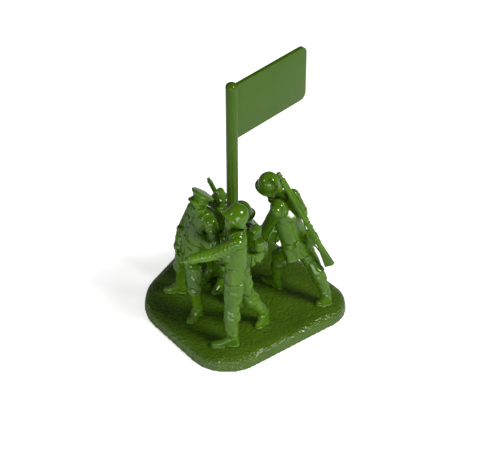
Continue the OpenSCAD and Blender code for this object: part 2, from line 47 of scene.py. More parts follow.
# Body points of each man in shares of the figures' height, left then right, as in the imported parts
men = {
    "pointer": {
        "place": (-0.0151, -0.434, 0), "neck": (-0.015, -0.002, 0.835), "head": (-0.03, -0.005, 0.91),
        "shoulder": ((-0.025, -0.06, 0.79), (-0.03, 0.055, 0.775)),
        "elbow": ((-0.16, -0.1, 0.71), (0.0, 0.125, 0.63)),
        "wrist": ((-0.29, -0.12, 0.69), (-0.05, 0.12, 0.5)),
        "hand": ((-0.34, -0.125, 0.685), (-0.07, 0.115, 0.465)),
        "waist": ((-0.026, -0.045, 0.585), (-0.044, 0.04, 0.585)),
        "hip": ((-0.04, -0.045, 0.47), (-0.022, 0.045, 0.47)),
        "knee": ((-0.062, -0.08, 0.265), (0.03, 0.065, 0.26)),
        "ankle": ((-0.055, -0.095, 0.06), (0.13, 0.1, 0.085)),
        "toe": ((-0.165, -0.105, 0.022), (0.1, 0.07, 0.022)),
        "peg": ((-0.08, -0.098, 0), (0.105, 0.075, 0)),
    },
    "officer": {
        "place": (-0.3314, -0.1766, 0), "neck": (0.065, -0.02, 0.795), "head": (0.07, -0.045, 0.858),
        "shoulder": ((0.11, -0.07, 0.735), (0.05, 0.035, 0.715)),
        "elbow": ((0.16, -0.16, 0.6), (-0.035, 0.055, 0.57)),
        "wrist": ((0.08, -0.155, 0.665), (-0.068, 0, 0.475)),
        "hand": ((0.045, -0.145, 0.68), (-0.078, -0.03, 0.445)),
        "waist": ((0.055, -0.04, 0.56), (-0.005, 0.03, 0.56)),
        "hip": ((0.02, -0.045, 0.45), (-0.02, 0.045, 0.45)),
        "knee": ((0.03, -0.12, 0.25), (-0.06, 0.1, 0.245)),
        "ankle": ((0.045, -0.085, 0.06), (-0.065, 0.135, 0.06)),
        "toe": ((0.0, -0.14, 0.022), (-0.15, 0.14, 0.022)), "peg": ((0.028, -0.108, 0), (-0.09, 0.137, 0)),
    },
    "rifleman": {
        "place": (-0.1616, 0.0767, 0), "neck": (0, -0.055, 0.641), "head": (0.005, -0.08, 0.71),
        "shoulder": ((0.05, -0.085, 0.59), (-0.06, -0.005, 0.59)),
        "elbow": ((0.06, -0.12, 0.46), (-0.14, 0.005, 0.475)),
        "wrist": ((-0.035, -0.175, 0.4), (-0.14, -0.06, 0.4)),
        "hand": ((-0.065, -0.18, 0.39), (-0.13, -0.09, 0.38)),
        "waist": ((0.03, -0.035, 0.485), (-0.035, 0.015, 0.485)),
        "hip": ((0.035, -0.03, 0.41), (-0.035, 0.03, 0.41)),
        "knee": ((0.015, -0.09, 0.25), (-0.075, -0.005, 0.245)),
        "ankle": ((0.03, -0.045, 0.06), (-0.04, 0.045, 0.06)),
        "toe": ((-0.025, -0.125, 0.022), (-0.11, -0.025, 0.022)),
        "peg": ((0.015, -0.065, 0), (-0.06, 0.025, 0)),
    },
    "croucher": {
        "place": (0.0233, 0.2533, 0), "neck": (-0.04, -0.01, 0.355), "head": (-0.045, -0.02, 0.415),
        "shoulder": ((-0.02, -0.075, 0.3), (-0.045, 0.06, 0.3)),
        "elbow": ((-0.04, -0.165, 0.21), (-0.08, 0.145, 0.21)),
        "wrist": ((-0.13, -0.165, 0.22), (-0.165, 0.11, 0.225)),
        "hand": ((-0.165, -0.155, 0.225), (-0.2, 0.1, 0.23)),
        "waist": ((0.045, -0.035, 0.21), (0.03, 0.05, 0.21)),
        "hip": ((0.06, -0.035, 0.13), (0.045, 0.05, 0.13)),
        "knee": ((-0.11, -0.08, 0.22), (-0.125, 0.035, 0.22)),
        "ankle": ((-0.02, -0.075, 0.06), (-0.035, 0.065, 0.06)),
        "toe": ((-0.115, -0.1, 0.022), (-0.135, 0.035, 0.022)),
        "peg": ((-0.045, -0.08, 0), (-0.06, 0.057, 0)),
    },
    "leaner": {
        "place": (0.3231, -0.0616, 0), "neck": (-0.148, 0.07, 0.72), "head": (-0.178, 0.1, 0.785),
        "shoulder": ((-0.12, 0.005, 0.68), (-0.085, 0.1, 0.67)),
        "elbow": ((-0.205, 0.023, 0.468), (-0.1, 0.205, 0.53)),
        "wrist": ((-0.207, 0.15, 0.4), (-0.165, 0.235, 0.42)),
        "hand": ((-0.215, 0.175, 0.365), (-0.195, 0.24, 0.385)),
        "waist": ((-0.05, -0.03, 0.445), (-0.005, 0.04, 0.445)),
        "hip": ((-0.03, -0.02, 0.37), (0.02, 0.03, 0.37)),
        "knee": ((-0.115, 0.068, 0.255), (0.12, -0.065, 0.235)),
        "ankle": ((-0.122, 0.07, 0.06), (0.175, -0.095, 0.075)),
        "toe": ((-0.2, 0.135, 0.022), (0.14, -0.1, 0.022)), "peg": ((-0.146, 0.089, 0), (0.15, -0.1, 0)),
    },
}
sides = ("left", "right")
upward = Vector((0, 0, 1))


def beside(man, share):
    return upward * group["deck"] + group["height"] * (Vector(men[man]["place"]) + Vector(share))


def spot(man, name, side=None):
    share = men[man][name]
    return beside(man, share[sides.index(side)] if side else share)


def lerp(a, b, share):
    return a + (b - a) * share


def middle(man, name):
    return lerp(spot(man, name, "left"), spot(man, name, "right"), 0.5)


def span(man, name):
    return spot(man, name, "left") - spot(man, name, "right")


# Points of the unit circle, every so many degrees
def arc(step, last=360):
    return [(math.cos(math.radians(a)), math.sin(math.radians(a))) for a in range(0, last + 1, step)]


def spin(degrees, axis="Z"):
    return Matrix.Rotation(math.radians(degrees), 3, axis)


# Modelling moves
def pick(parts):
    bpy.ops.object.select_all(action="DESELECT")
    for part in parts:
        part.select_set(True)
    bpy.context.view_layer.objects.active = parts[0]


def openMesh():
    bpy.ops.object.mode_set(mode="EDIT")
    bpy.ops.mesh.select_all(action="SELECT")


def closeMesh():
    bpy.ops.object.mode_set(mode="OBJECT")


def facesOut():
    openMesh()
    bpy.ops.mesh.normals_make_consistent(inside=False)
    closeMesh()


def joined(parts):
    pick(parts)
    if len(parts) > 1:
        bpy.ops.object.join()
    bpy.ops.object.transform_apply(location=True, rotation=True, scale=True)
    return bpy.context.object


# A turn that brings local Z along a direction and local X near the front
def turnTo(along, front=Vector((1, 0, 0))):
    z = along.normalized()
    x = front - z * front.dot(z)
    if x.length < 0.01:  # the two are in line
        x = Vector((0, 1, 0)) - z * z.y
    x.normalize()
    return Matrix((x, z.cross(x), z)).transposed()


# A turn that brings local X along a direction and keeps local Y level
def levelTurn(along):
    left = upward.cross(along).normalized()
    return Matrix((along, left, along.cross(left))).transposed()


def ball(at, size, turn=None, around=16):
    bpy.ops.mesh.primitive_uv_sphere_add(segments=around, ring_count=around // 2 + 2, radius=1, location=at)
    part = bpy.context.object
    part.scale = (size, size, size) if isinstance(size, (int, float)) else size
    if turn:
        part.rotation_euler = turn.to_euler()
    return part


def rounded(bevel, rows=2):
    if bevel:
        openMesh()
        bpy.ops.mesh.bevel(offset=bevel, segments=rows, affect="EDGES")
        closeMesh()


def block(at, size, turn=None, bevel=0.1, rows=2):
    bpy.ops.mesh.primitive_cube_add(size=1)
    part = bpy.context.object
    part.scale = size
    bpy.ops.object.transform_apply(scale=True)
    rounded(bevel, rows)
    part.location = at
    if turn:
        part.rotation_euler = turn.to_euler()
    return part


def disc(at, radius, depth, along=upward, bevel=0.08, around=28):
    bpy.ops.mesh.primitive_cylinder_add(vertices=around, radius=radius, depth=depth)
    part = bpy.context.object
    rounded(bevel)
    part.location = at
    part.rotation_euler = turnTo(along).to_euler()
    return part


# A profile of radius and height, drawn out ring by ring
def turned(profile, around=40, closed=True):
    bpy.ops.mesh.primitive_circle_add(vertices=around, radius=profile[0][0], location=(0, 0, profile[0][1]),
                                      fill_type="NGON" if closed else "NOTHING", enter_editmode=True)
    for (r, z), (nextR, nextZ) in zip(profile, profile[1:]):
        bpy.ops.mesh.extrude_region_move(TRANSFORM_OT_translate={"value": (0, 0, nextZ - z)})
        bpy.ops.transform.resize(value=(nextR / r, nextR / r, 1), center_override=(0, 0, nextZ))
    if profile[-1][0] < 0.02:  # it ends in a point
        bpy.ops.mesh.merge(type="CENTER")
    bpy.ops.mesh.select_all(action="SELECT")
    bpy.ops.mesh.normals_make_consistent(inside=False)
    closeMesh()
    bpy.ops.object.transform_apply(location=True)
    return bpy.context.object


def strand(points, radii, smooth=True):
    bpy.ops.curve.primitive_nurbs_path_add()
    shape = bpy.context.object.data
    shape.splines.clear()
    spline = shape.splines.new("NURBS" if smooth and len(points) > 2 else "POLY")
    spline.points.add(len(points) - 1)
    for i, point in enumerate(points):
        spline.points[i].co = (point[0], point[1], point[2], 1)
        spline.points[i].radius = radii[i] if isinstance(radii, (list, tuple)) else radii
    spline.order_u = min(3, len(points))
    spline.use_endpoint_u = True
    spline.resolution_u = 4
    shape.dimensions = "3D"
    shape.bevel_depth = 1
    shape.bevel_resolution = 2
    shape.use_fill_caps = True
    bpy.ops.object.convert(target="MESH")
    return bpy.context.object


def hullOf(parts):
    piece = joined(parts)
    openMesh()
    bpy.ops.mesh.convex_hull()
    closeMesh()
    return piece


def limb(a, b, ra, rb):
    return hullOf([ball(a, ra), ball(b, rb)])


def finished(piece, kind, **settings):
    pick([piece])
    step = piece.modifiers.new(kind.lower(), kind)
    for name, value in settings.items():
        setattr(step, name, value)
    bpy.ops.object.modifier_apply(modifier=step.name)
    return piece


def melt(parts, voxel=group["voxel"], smooth=2):
    piece = finished(joined(parts), "REMESH", mode="VOXEL", voxel_size=voxel)
    return finished(piece, "SMOOTH", factor=0.5, iterations=smooth)


def placed(part, turn, at):
    part.data.transform(Matrix.Translation(at) @ turn.to_4x4())
    return part


def skinOf(form):
    points = [v.co.copy() for v in form.data.vertices]
    return BVHTree.FromPolygons(points, [p.vertices[:] for p in form.data.polygons])


def surfaceAt(skin, start, direction):
    at, normal, _, _ = skin.ray_cast(start + direction * group["outside"], -direction)
    return (at, normal) if at else (start, direction)


def smoothPath(points, steps):
    line = []
    for i in range(len(points) - 1):
        p0, p1 = points[max(i - 1, 0)], points[i]
        p2, p3 = points[i + 1], points[min(i + 2, len(points) - 1)]
        for k in range(steps):
            t = k / steps
            line.append(0.5 * (2 * p1 + (p2 - p0) * t + (2 * p0 - 5 * p1 + 4 * p2 - p3) * t * t
                               + (3 * p1 - p0 - 3 * p2 + p3) * t * t * t))
    return line + [points[-1]]


# A band that lies on the skin along a path, sunk a little so that it fuses with it
def strap(skin, points, width=0.34, thick=0.12, steps=6, sunk=0.06):
    line = smoothPath(points, steps)
    last = len(line) - 1
    bpy.ops.mesh.primitive_grid_add(x_subdivisions=last, y_subdivisions=2, size=1)
    part = bpy.context.object
    cols = sorted({round(v.co.x, 4) for v in part.data.vertices})
    for v in part.data.vertices:
        i = min(cols.index(round(v.co.x, 4)), last)
        ahead = line[min(i + 1, last)] - line[max(i - 1, 0)]
        side = ahead.cross(skin.find_nearest(line[i])[1]).normalized()
        near, normal, _, _ = skin.find_nearest(line[i] + side * v.co.y * width)
        v.co = near - normal * sunk
    finished(part, "SOLIDIFY", thickness=thick + sunk, offset=1)
    facesOut()
    return part


# Cloth folds: round crests and sharp valleys about the axis from a to b, deepest on the side of "face"
def ripple(piece, a, b, radius, face, along, around, depth, lean=0.25, phase=0.0, spread=0.5):
    z = (b - a).normalized()
    x = (face - z * face.dot(z)).normalized()
    y = z.cross(x)
    length = (b - a).length
    for v in piece.data.vertices:
        off = v.co - a
        t = off.dot(z) / length
        off -= z * (t * length)
        if not 0 < t < 1 or not 0.1 < off.length < radius:
            continue
        angle = math.atan2(off.dot(y), off.dot(x))
        wander = 0.13 * math.sin(7 * t + 3 * angle + phase)
        u = along * t + around * angle / math.tau + lean * math.sin(2 * angle + phase) + wander
        fold = 2 * abs(math.sin(math.pi * u + phase)) - 1.3
        there = min(1, 6 * t, 6 * (1 - t)) * (1 - spread + spread * (0.5 + 0.5 * math.cos(angle)))
        v.co += off.normalized() * (depth * fold * there)


# Grooves with soft edges where the paths lie on the piece
def carve(piece, paths, width=0.13, depth=0.13):
    tree = KDTree(len(piece.data.vertices))
    for v in piece.data.vertices:
        tree.insert(v.co, v.index)
    tree.balance()
    skin = skinOf(piece)
    near = {}
    for points in paths:
        for p in smoothPath(points, 8):
            for _, index, reach in tree.find_range(skin.find_nearest(p)[0], width * 1.8):
                near[index] = min(near.get(index, reach), reach)
    sinks = []
    for index, reach in near.items():
        v = piece.data.vertices[index]
        sinks.append((v, v.normal * (depth * math.exp(-2 * (reach / width) ** 2))))
    for v, sink in sinks:
        v.co -= sink
    return piece


def handOver(piece, name, node, body, finish):
    pick([piece])
    piece.scale = (group["metre"], group["metre"], group["metre"])
    bpy.ops.object.transform_apply(location=True, rotation=True, scale=True)
    piece.name = name
    piece.data.name = name
    piece.data.materials.clear()
    piece.data.materials.append(finish)
    for face in piece.data.polygons:
        face.material_index = 0
    bpy.ops.object.shade_smooth_by_angle(angle=math.radians(50))
    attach(piece, body)
    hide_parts(node)


def handToMan(piece, man, part, node=None, body=None):
    handOver(piece, man + "-" + part, man + "_" + (node or part.replace("-", "_")), body or man,
             figurePlastic)


# Plastics
def plastic(name, look):
    material = bpy.data.materials.new(name)
    material.use_nodes = True
    nodes, links = material.node_tree.nodes, material.node_tree.links
    nodes.clear()
    out = nodes.new("ShaderNodeOutputMaterial")
    shader = nodes.new("ShaderNodeBsdfPrincipled")
    links.new(shader.outputs["BSDF"], out.inputs["Surface"])
    shader.inputs["IOR"].default_value = look["bend"]
    shader.inputs["Subsurface Weight"].default_value = look["glow"]
    shader.inputs["Subsurface Radius"].default_value = look["reach"]
    shader.inputs["Subsurface Scale"].default_value = look["depth"]
    place = nodes.new("ShaderNodeTexCoord")

    def pattern(scale, detail=2, kind="ShaderNodeTexNoise"):
        node = nodes.new(kind)
        node.inputs["Scale"].default_value = scale
        node.inputs["Detail"].default_value = detail
        links.new(place.outputs["Object"], node.inputs["Vector"])
        return node

    def bump(height, strength, distance):
        node = nodes.new("ShaderNodeBump")
        node.inputs["Strength"].default_value = strength
        node.inputs["Distance"].default_value = distance
        links.new(height, node.inputs["Height"])
        return node

    ramp = nodes.new("ShaderNodeValToRGB")  # pigment that isn't quite even
    for element, position, tone in zip(ramp.color_ramp.elements, (0.3, 0.72), ("dark", "light")):
        element.position = position
        element.color = (*look[tone], 1)
    links.new(pattern(look["cloudScale"], 4).outputs["Fac"], ramp.inputs["Fac"])
    links.new(ramp.outputs["Color"], shader.inputs["Base Color"])
    gloss = nodes.new("ShaderNodeMapRange")  # handled places are duller
    for socket, value in zip(("From Min", "From Max", "To Min", "To Max"), (0.3, 0.7, *look["gloss"])):
        gloss.inputs[socket].default_value = value
    links.new(pattern(look["rubScale"], 6).outputs["Fac"], gloss.inputs["Value"])
    links.new(gloss.outputs["Result"], shader.inputs["Roughness"])
    if look["pebbled"]:
        grain = pattern(look["grainScale"], 0, "ShaderNodeTexVoronoi")
        grain.feature = "SMOOTH_F1"
        grain.inputs["Smoothness"].default_value = 0.6
    else:
        grain = pattern(look["grainScale"])
    coarse = bump(grain.outputs["Distance" if look["pebbled"] else "Fac"], look["grain"], look["grainDepth"])
    coarse.invert = look["pebbled"]
    fine = bump(pattern(look["fineScale"], 5).outputs["Fac"], look["fine"], look["fineDepth"])
    links.new(coarse.outputs["Normal"], fine.inputs["Normal"])
    links.new(fine.outputs["Normal"], shader.inputs["Normal"])
    return material


figureLook = {"dark": (0.044, 0.118, 0.002), "light": (0.094, 0.212, 0.005), "cloudScale": 240,
              "bend": 1.5, "glow": 0.12, "reach": (0.6, 1.0, 0.1), "depth": 0.0004, "rubScale": 700,
              "gloss": (0.1, 0.22), "pebbled": False, "grainScale": 1300, "grain": 0.3,
              "grainDepth": 0.00004, "fineScale": 9000, "fine": 0.15, "fineDepth": 0.00002}
flagLook = {"dark": (0.042, 0.102, 0.002), "light": (0.051, 0.121, 0.002), "cloudScale": 90, "bend": 1.38,
            "glow": 0.15, "reach": (0.6, 1.0, 0.1), "depth": 0.0005, "rubScale": 260, "gloss": (0.14, 0.24),
            "pebbled": False, "grainScale": 400, "grain": 0.2, "grainDepth": 0.00006,
            "fineScale": 7000, "fine": 0.15, "fineDepth": 0.00002}
baseLook = {"dark": (0.044, 0.098, 0.003), "light": (0.070, 0.140, 0.006), "cloudScale": 220, "bend": 1.5,
            "glow": 0.1, "reach": (0.6, 1.0, 0.1), "depth": 0.0005, "rubScale": 900, "gloss": (0.08, 0.2),
            "pebbled": True, "grainScale": 2500, "grain": 1.0, "grainDepth": 0.0002,
            "fineScale": 6000, "fine": 0.3, "fineDepth": 0.00002}
figurePlastic = plastic("figurePlastic", figureLook)
flagPlastic = plastic("flagPlastic", flagLook)
basePlastic = plastic("basePlastic", baseLook)
print("plastics mixed")

# The base: a leaning slab with a rounded edge, a boss for the pole and holes for the pegs.
# Each corner is its x, y and radius as shares of the depth
baseSlab = {"depth": 35.6, "height": 2.1, "lean": 0.2, "foot": 0.05, "edge": 0.75, "round": 1.5,
            "voxel": 0.2,
            "corners": ((-0.077, -0.307, 0.193), (0.308, -0.072, 0.151),
                        (-0.074, 0.304, 0.196), (-0.207, -0.047, 0.252)),
            "waves": (("coarse", 1.3, 0.06), ("pebbles", 0.5, 0.054)), "waveFrom": 0.5,
            "pole": (-0.0726, -0.1314, 0), "bossRadius": 1.55, "bossHeight": 1.5, "socket": 0.69,
            "socketDepth": 3.05, "socketCut": 3.15, "hole": 0.46, "holeDepth": 1.35}


def makeBase(b):
    slabs = []
    for x, y, r in b["corners"]:
        r *= b["depth"]
        top = r - b["lean"]
        edge = [(top - b["round"] * (1 - x), b["height"] - b["edge"] * (1 - z)) for x, z in arc(15, 90)]
        slab = turned([(r, 0), (r, b["foot"])] + edge, around=72)
        slab.location = (x * b["depth"], y * b["depth"], 0)
        slabs.append(slab)
    slab = hullOf(slabs)
    foot = Vector(b["pole"]) * group["height"]
    boss = turned([(b["bossRadius"] + flare, b["height"] + rise) for flare, rise in (
        (0.25, -0.3), (0.22, 0), (0, 0.3), (-0.02, b["bossHeight"] - 0.2), (-0.2, b["bossHeight"]))])
    boss.location = foot
    piece = melt([slab, boss], b["voxel"])
    upper = piece.vertex_groups.new(name="upper")
    upper.add([v.index for v in piece.data.vertices if v.co.z > b["waveFrom"]], 1, "REPLACE")
    for name, scale, strength in b["waves"]:
        texture = bpy.data.textures.new(name, "CLOUDS")
        texture.noise_scale = scale
        texture.noise_depth = 2
        finished(piece, "DISPLACE", texture=texture, texture_coords="LOCAL", mid_level=0.5, strength=strength,
                 vertex_group="upper")
    socketAt = b["height"] + b["bossHeight"] - b["socketDepth"] + b["socketCut"] / 2
    cutters = [disc(foot + upward * socketAt, b["socket"], b["socketCut"], bevel=0)]
    for man in men:
        for side in sides:
            hole = spot(man, "peg", side)
            hole.z = b["height"] - b["holeDepth"] + 1
            cutters.append(disc(hole, b["hole"], 2, bevel=0, around=20))
    cutter = joined(cutters)
    finished(piece, "BOOLEAN", operation="DIFFERENCE", object=cutter, solver="EXACT")
    bpy.data.objects.remove(cutter)
    handOver(piece, "moulded-base", "base", "root", basePlastic)


makeBase(baseSlab)
print("base moulded")

# The flag: a round pole with a domed top and one plain plate
flagPlate = {"top": 44.1, "pole": 0.9, "dome": 0.7, "length": 15.9, "height": 9.5, "thick": 0.7,
             "corner": 1.2, "edge": 0.1, "turn": 46, "foot": 3.65, "peg": 0.65, "pegLength": 2.95,
             "rows": (12, 20, 28, 34, 38), "seamFrom": 6, "seamBelow": 8}


def makeFlag(f):
    dome = f["pole"] * f["dome"]
    tip = f["foot"] - f["pegLength"]
    rings = [(f["peg"] * 0.8, tip), (f["peg"], tip + 0.15), (f["peg"], f["foot"] - 0.001),
             (f["pole"] * 0.94, f["foot"]), (f["pole"], f["foot"] + 0.1)]
    rings += [(f["pole"], z) for z in f["rows"]]
    rings += [(f["pole"] * x, f["top"] - dome * (1 - z)) for x, z in arc(15, 75)]
    pole = turned(rings + [(0.01, f["top"])], around=64)
    plate = block((0, 0, 0), (f["length"], f["thick"], f["height"]), bevel=0)
    plate.location = (f["length"] / 2, 0, f["top"] - dome - f["height"] / 2)
    bpy.ops.object.transform_apply(location=True)
    bpy.ops.object.mode_set(mode="EDIT")
    bpy.ops.mesh.select_mode(type="EDGE")
    bpy.ops.mesh.select_all(action="DESELECT")
    closeMesh()
    for edge in plate.data.edges:  # the two corners away from the pole
        a, b = (plate.data.vertices[i].co for i in edge.vertices)
        edge.select = a.x > 1 and b.x > 1 and abs(a.y - b.y) > 0.1
    bpy.ops.object.mode_set(mode="EDIT")
    bpy.ops.mesh.bevel(offset=f["corner"], segments=8, affect="EDGES")
    bpy.ops.mesh.select_all(action="SELECT")
    bpy.ops.mesh.edges_select_sharp(sharpness=math.radians(50))
    bpy.ops.mesh.bevel(offset=f["edge"], segments=3, affect="EDGES")
    bpy.ops.mesh.select_mode(type="VERT")
    closeMesh()
    finished(plate, "BOOLEAN", operation="UNION", object=pole, solver="EXACT")
    bpy.data.objects.remove(pole)
    seamLength = f["top"] - f["seamBelow"]
    seam = block((0, 0, 0), (0.1, 0.1, seamLength), bevel=0.03)  # the parting line of the mould
    seam.location = (-f["pole"] + 0.01, 0, seamLength / 2 + f["seamFrom"])
    piece = placed(joined([plate, seam]), spin(f["turn"]), Vector(baseSlab["pole"]) * group["height"])
    handOver(piece, "flag-and-pole", "flag", "flag", flagPlastic)


makeFlag(flagPlate)
print("flag moulded")


# A man's parts. The trunk's own axes: its middle at waist and shoulders, and its front, left and up
def trunkAxes(man):
    low, top = middle(man, "waist"), middle(man, "shoulder")
    up = (top - low).normalized()
    left = span(man, "shoulder")
    left = (left - up * left.dot(up)).normalized()
    return low, top, left.cross(up), left, up


def onTrunk(man, share, front, left):
    low, top, ahead, aside, _ = trunkAxes(man)
    return lerp(low, top, share) + ahead * front + aside * left


def armRoot(man, side):
    shoulder = spot(man, "shoulder", side)
    return shoulder + (shoulder - middle(man, "shoulder")).normalized() * group["chest"]


def level(ankle, toe):
    return Vector((toe.x - ankle.x, toe.y - ankle.y, 0)).normalized()


# Rise and size of each rounded form, and the two radii, rise and thickness of each layer under the foot
bootShape = {"back": 0.4, "front": 0.15, "treadAt": 0.66, "heel": (0.62, 0.6),
             "tread": (0.5, (0.66, 0.66, 0.5)), "ankle": (0.1, 0.84), "vamp": (0.52, 0.64),
             "toe": (0.42, (0.56, 0.56, 0.42)), "shaft": (0.25, 0.86), "heelEnd": 0.22,
             "heelSole": ((0.66, 0.6), 0.17, 0.34), "sole": ((0.78, 0.64), 0.12, 0.22),
             "shankEnds": (0.2, 0.6), "shank": ((0.55, 0.55), 0.22, 0.14)}


def boot(ankle, toe, shaftTop, shaftRadius, deck):
    b = bootShape
    flat = level(ankle, toe)
    heel = Vector((ankle.x, ankle.y, deck)) - flat * b["back"]
    tip = Vector((toe.x, toe.y, deck)) + flat * b["front"]
    tread = lerp(heel, tip, b["treadAt"])

    def upper(*forms):
        return hullOf([ball(at + upward * b[name][0], b[name][1]) for at, name in forms])

    def layer(start, end, radii, rise, thick):
        return hullOf([disc(at + upward * rise, r, thick, bevel=0) for at, r in zip((start, end), radii)])

    return [
        upper((heel, "heel"), (tread, "tread"), (ankle, "ankle")),
        upper((tread, "vamp"), (tip, "toe")),
        layer(heel, lerp(heel, tip, b["heelEnd"]), *b["heelSole"]),
        layer(tread, tip, *b["sole"]),
        layer(*(lerp(heel, tip, share) for share in b["shankEnds"]), *b["shank"]),
        limb(ankle + upward * b["shaft"][0], shaftTop, b["shaft"][1], shaftRadius),
    ]


# Each ring of the cuff is how much wider it is than the bag, and where it lies along the leg
legShape = {"knee": 1.15, "outerKnee": 1.1, "kneecap": (1.1, 1.1, 1.2), "kneeAhead": 0.15,
            "calf": (0.8, 0.8, 1.2), "calfBack": 0.2, "calfBelow": 0.22, "calfLowest": 0.62,
            "cuffTop": 1.08, "cuff": ((0.02, 0.35), (0.1, 0.75), (0, 0.93), (-0.14, 1)), "peg": 0.4,
            "pegDepth": 1.85, "pegMiddle": -0.35}


def legParts(man, side, dress):
    s = legShape
    hip, knee, ankle, toe = (spot(man, name, side) for name in ("hip", "knee", "ankle", "toe"))
    shin = ankle - knee
    bootTop = lerp(knee, ankle, dress["bootTop"])
    ahead = level(ankle, toe)
    outer = (hip - middle(man, "hip")).normalized()
    parts = [limb(hip, knee, dress["thigh"], s["knee"]),
             limb(lerp(hip, knee, 0.35) + outer * dress["flare"], knee, dress["thigh"] * 0.9, s["outerKnee"]),
             ball(knee + ahead * s["kneeAhead"], s["kneecap"])]
    parts += boot(ankle, toe, bootTop, dress["shaft"], group["deck"] + group["lift"])
    calfAt = lerp(knee, ankle, min(dress["bootTop"] + s["calfBelow"], s["calfLowest"]))
    parts.append(ball(calfAt - ahead * s["calfBack"], s["calf"], turnTo(shin)))
    # the trouser leg blouses over the boot and hangs in a point on the outside
    turn = turnTo(shin, (outer * 0.7 + ahead * 0.5).normalized())
    rings = [(dress["bag"] + wider, share) for wider, share in s["cuff"]]
    leg = turned([(s["cuffTop"], 0)] + rings, around=36)
    length = shin.length * dress["bootTop"]
    for v in leg.data.vertices:
        hang = max(0, v.co.x) ** 2 * dress["point"] * v.co.z ** 2
        v.co.z = v.co.z * length + hang
    parts.append(placed(leg, turn, knee))
    pegAt = spot(man, "peg", side) + upward * s["pegMiddle"]
    parts.append(disc(pegAt, s["peg"], s["pegDepth"], bevel=0.05, around=20))
    return parts


# Folds at the knee, over the boot and at the ankle; the groove over the sole comes back
def drapeLeg(piece, man, side, dress):
    hip, knee, ankle, toe = (spot(man, name, side) for name in ("hip", "knee", "ankle", "toe"))
    bootTop = lerp(knee, ankle, dress["bootTop"])
    ahead = level(ankle, toe)
    phase = dress["phase"]
    ripple(piece, lerp(hip, knee, 0.25), lerp(hip, knee, 1.12), 2.3, -ahead, 2.3, 1, 0.1, 0.3, phase)
    ripple(piece, lerp(knee, ankle, -0.1), bootTop, 1.8, ahead, 1.8, 1, 0.09, 0.35, phase + 1)
    ripple(piece, lerp(bootTop, ankle, 0.35), lerp(bootTop, ankle, 1.08), 1.15, ahead, 2.4, 0, 0.06, 0.1, 1.0)
    welt = group["deck"] + 0.42
    heel = Vector((ankle.x, ankle.y, welt)) - ahead * 1.0
    tip = Vector((toe.x, toe.y, welt)) + ahead * 0.7
    wide = Vector((-ahead.y, ahead.x, 0)) * 0.8
    back, front = lerp(heel, tip, 0.2), lerp(heel, tip, 0.65)
    return [heel, back + wide, front + wide, tip, front - wide, back - wide, heel]


def skirtOf(man, dress):
    low = middle(man, "waist")
    hips = middle(man, "hip")
    down = (hips - low).normalized()
    across = span(man, "hip")
    across = (across - down * across.dot(down)).normalized()
    front = across.cross(-down)
    wide = span(man, "waist").length / 2 + group["waist"]
    hemWide = span(man, "hip").length / 2 + dress["hem"]
    reach = (hips - low).length + dress["hang"]
    phase = dress["phase"]
    cloth = turned([(1, 0), (1.0, 0.25), (1.0, 0.5), (1.0, 0.75), (1.0, 0.96), (0.97, 1.0)], around=48)
    for v in cloth.data.vertices:
        t, angle = v.co.z, math.atan2(v.co.y, v.co.x)
        fold = 1 + 0.045 * t * t * (math.sin(angle * 5 + phase) + 0.7 * math.sin(angle * 9 + 2 * phase))
        scale = math.hypot(v.co.x, v.co.y) * fold
        deep = group["waist"] + (dress["hem"] - group["waist"]) * t
        breadth = wide + (hemWide - wide) * t
        v.co = (low + down * (t * reach) + front * (math.cos(angle) * deep * scale)
                + across * (math.sin(angle) * breadth * scale))
    facesOut()
    return cloth, low, down, front, across, wide, reach


def makeLegs(man, dress):
    cloth, low, down, front, across, wide, reach = skirtOf(man, dress)
    hips = [ball(spot(man, name, side), radius)
            for name, radius in (("hip", 1.5), ("waist", 1.4)) for side in sides]
    parts = [cloth, hullOf(hips)]
    skin = skinOf(cloth)
    for side in (1, -1):  # pocket flaps low on the tunic
        start = low + down * reach * 0.42 + across * side * wide * 0.55
        at, normal = surfaceAt(skin, start, (front + across * side * 0.35).normalized())
        parts.append(block(at, (0.95, 0.75, 0.2), turnTo(normal, across), bevel=0.05))
        parts.append(block(at - down * 0.3, (1.05, 0.3, 0.3), turnTo(normal, across), bevel=0.05))
    for side in sides:
        parts += legParts(man, side, dress)
        if dress["drape"]:  # cloth that lies along a raised thigh
            hip = spot(man, "hip", side)
            parts.append(limb(hip, lerp(hip, spot(man, "knee", side), dress["drape"]), 1.6, 1.45))
    hem = [surfaceAt(skin, low + down * reach * 0.97, front * x + across * y)[0] for x, y in arc(15)]
    parts.append(strand(hem, 0.09))
    piece = melt(parts, smooth=1)
    ripple(piece, low, low + down * (reach + 0.4), 3.4, -front, 0.3, 7, 0.1, 0.2, dress["phase"], 0.3)
    cuts = [[p + down * 0.22 for p in hem]] + [drapeLeg(piece, man, side, dress) for side in sides]
    carve(piece, cuts, 0.13, 0.16)
    handToMan(piece, man, "legs")


torsoShape = {"shoulder": 1.3, "waist": 1.38, "muscle": (0.95, 1.0, 1.3),
              "muscles": ((0.68, 0.42, 0.72), (0.68, 0.42, -0.72), (0.75, -0.4, 0.8), (0.75, -0.4, -0.8)),
              "collar": 0.95, "collarRoll": 0.2, "lapel": ((0.85, 0.75), (0.55, 0.08)),
              "wing": ((0.2, 0.85, 0.2), (0.65, 0.7, 0.42), (0.95, 0.2, 0.1)),
              "buttons": (0.86, 0.62, 0.38, 0.16), "button": (0.15, 0.15, 0.09), "pocket": (0.95, 0.95, 0.2),
              "pocketFlap": (1.05, 0.34, 0.32), "belt": (0.52, 0.2), "beltPlate": (0.62, 0.66, 0.14),
              "buckle": (0.3, 0.34, 0.12), "pouch": (0.78, 0.9, 0.55), "pouchFlap": (0.84, 0.42, 0.56),
              "strap": (0.36, 0.17), "seam": 1.25}


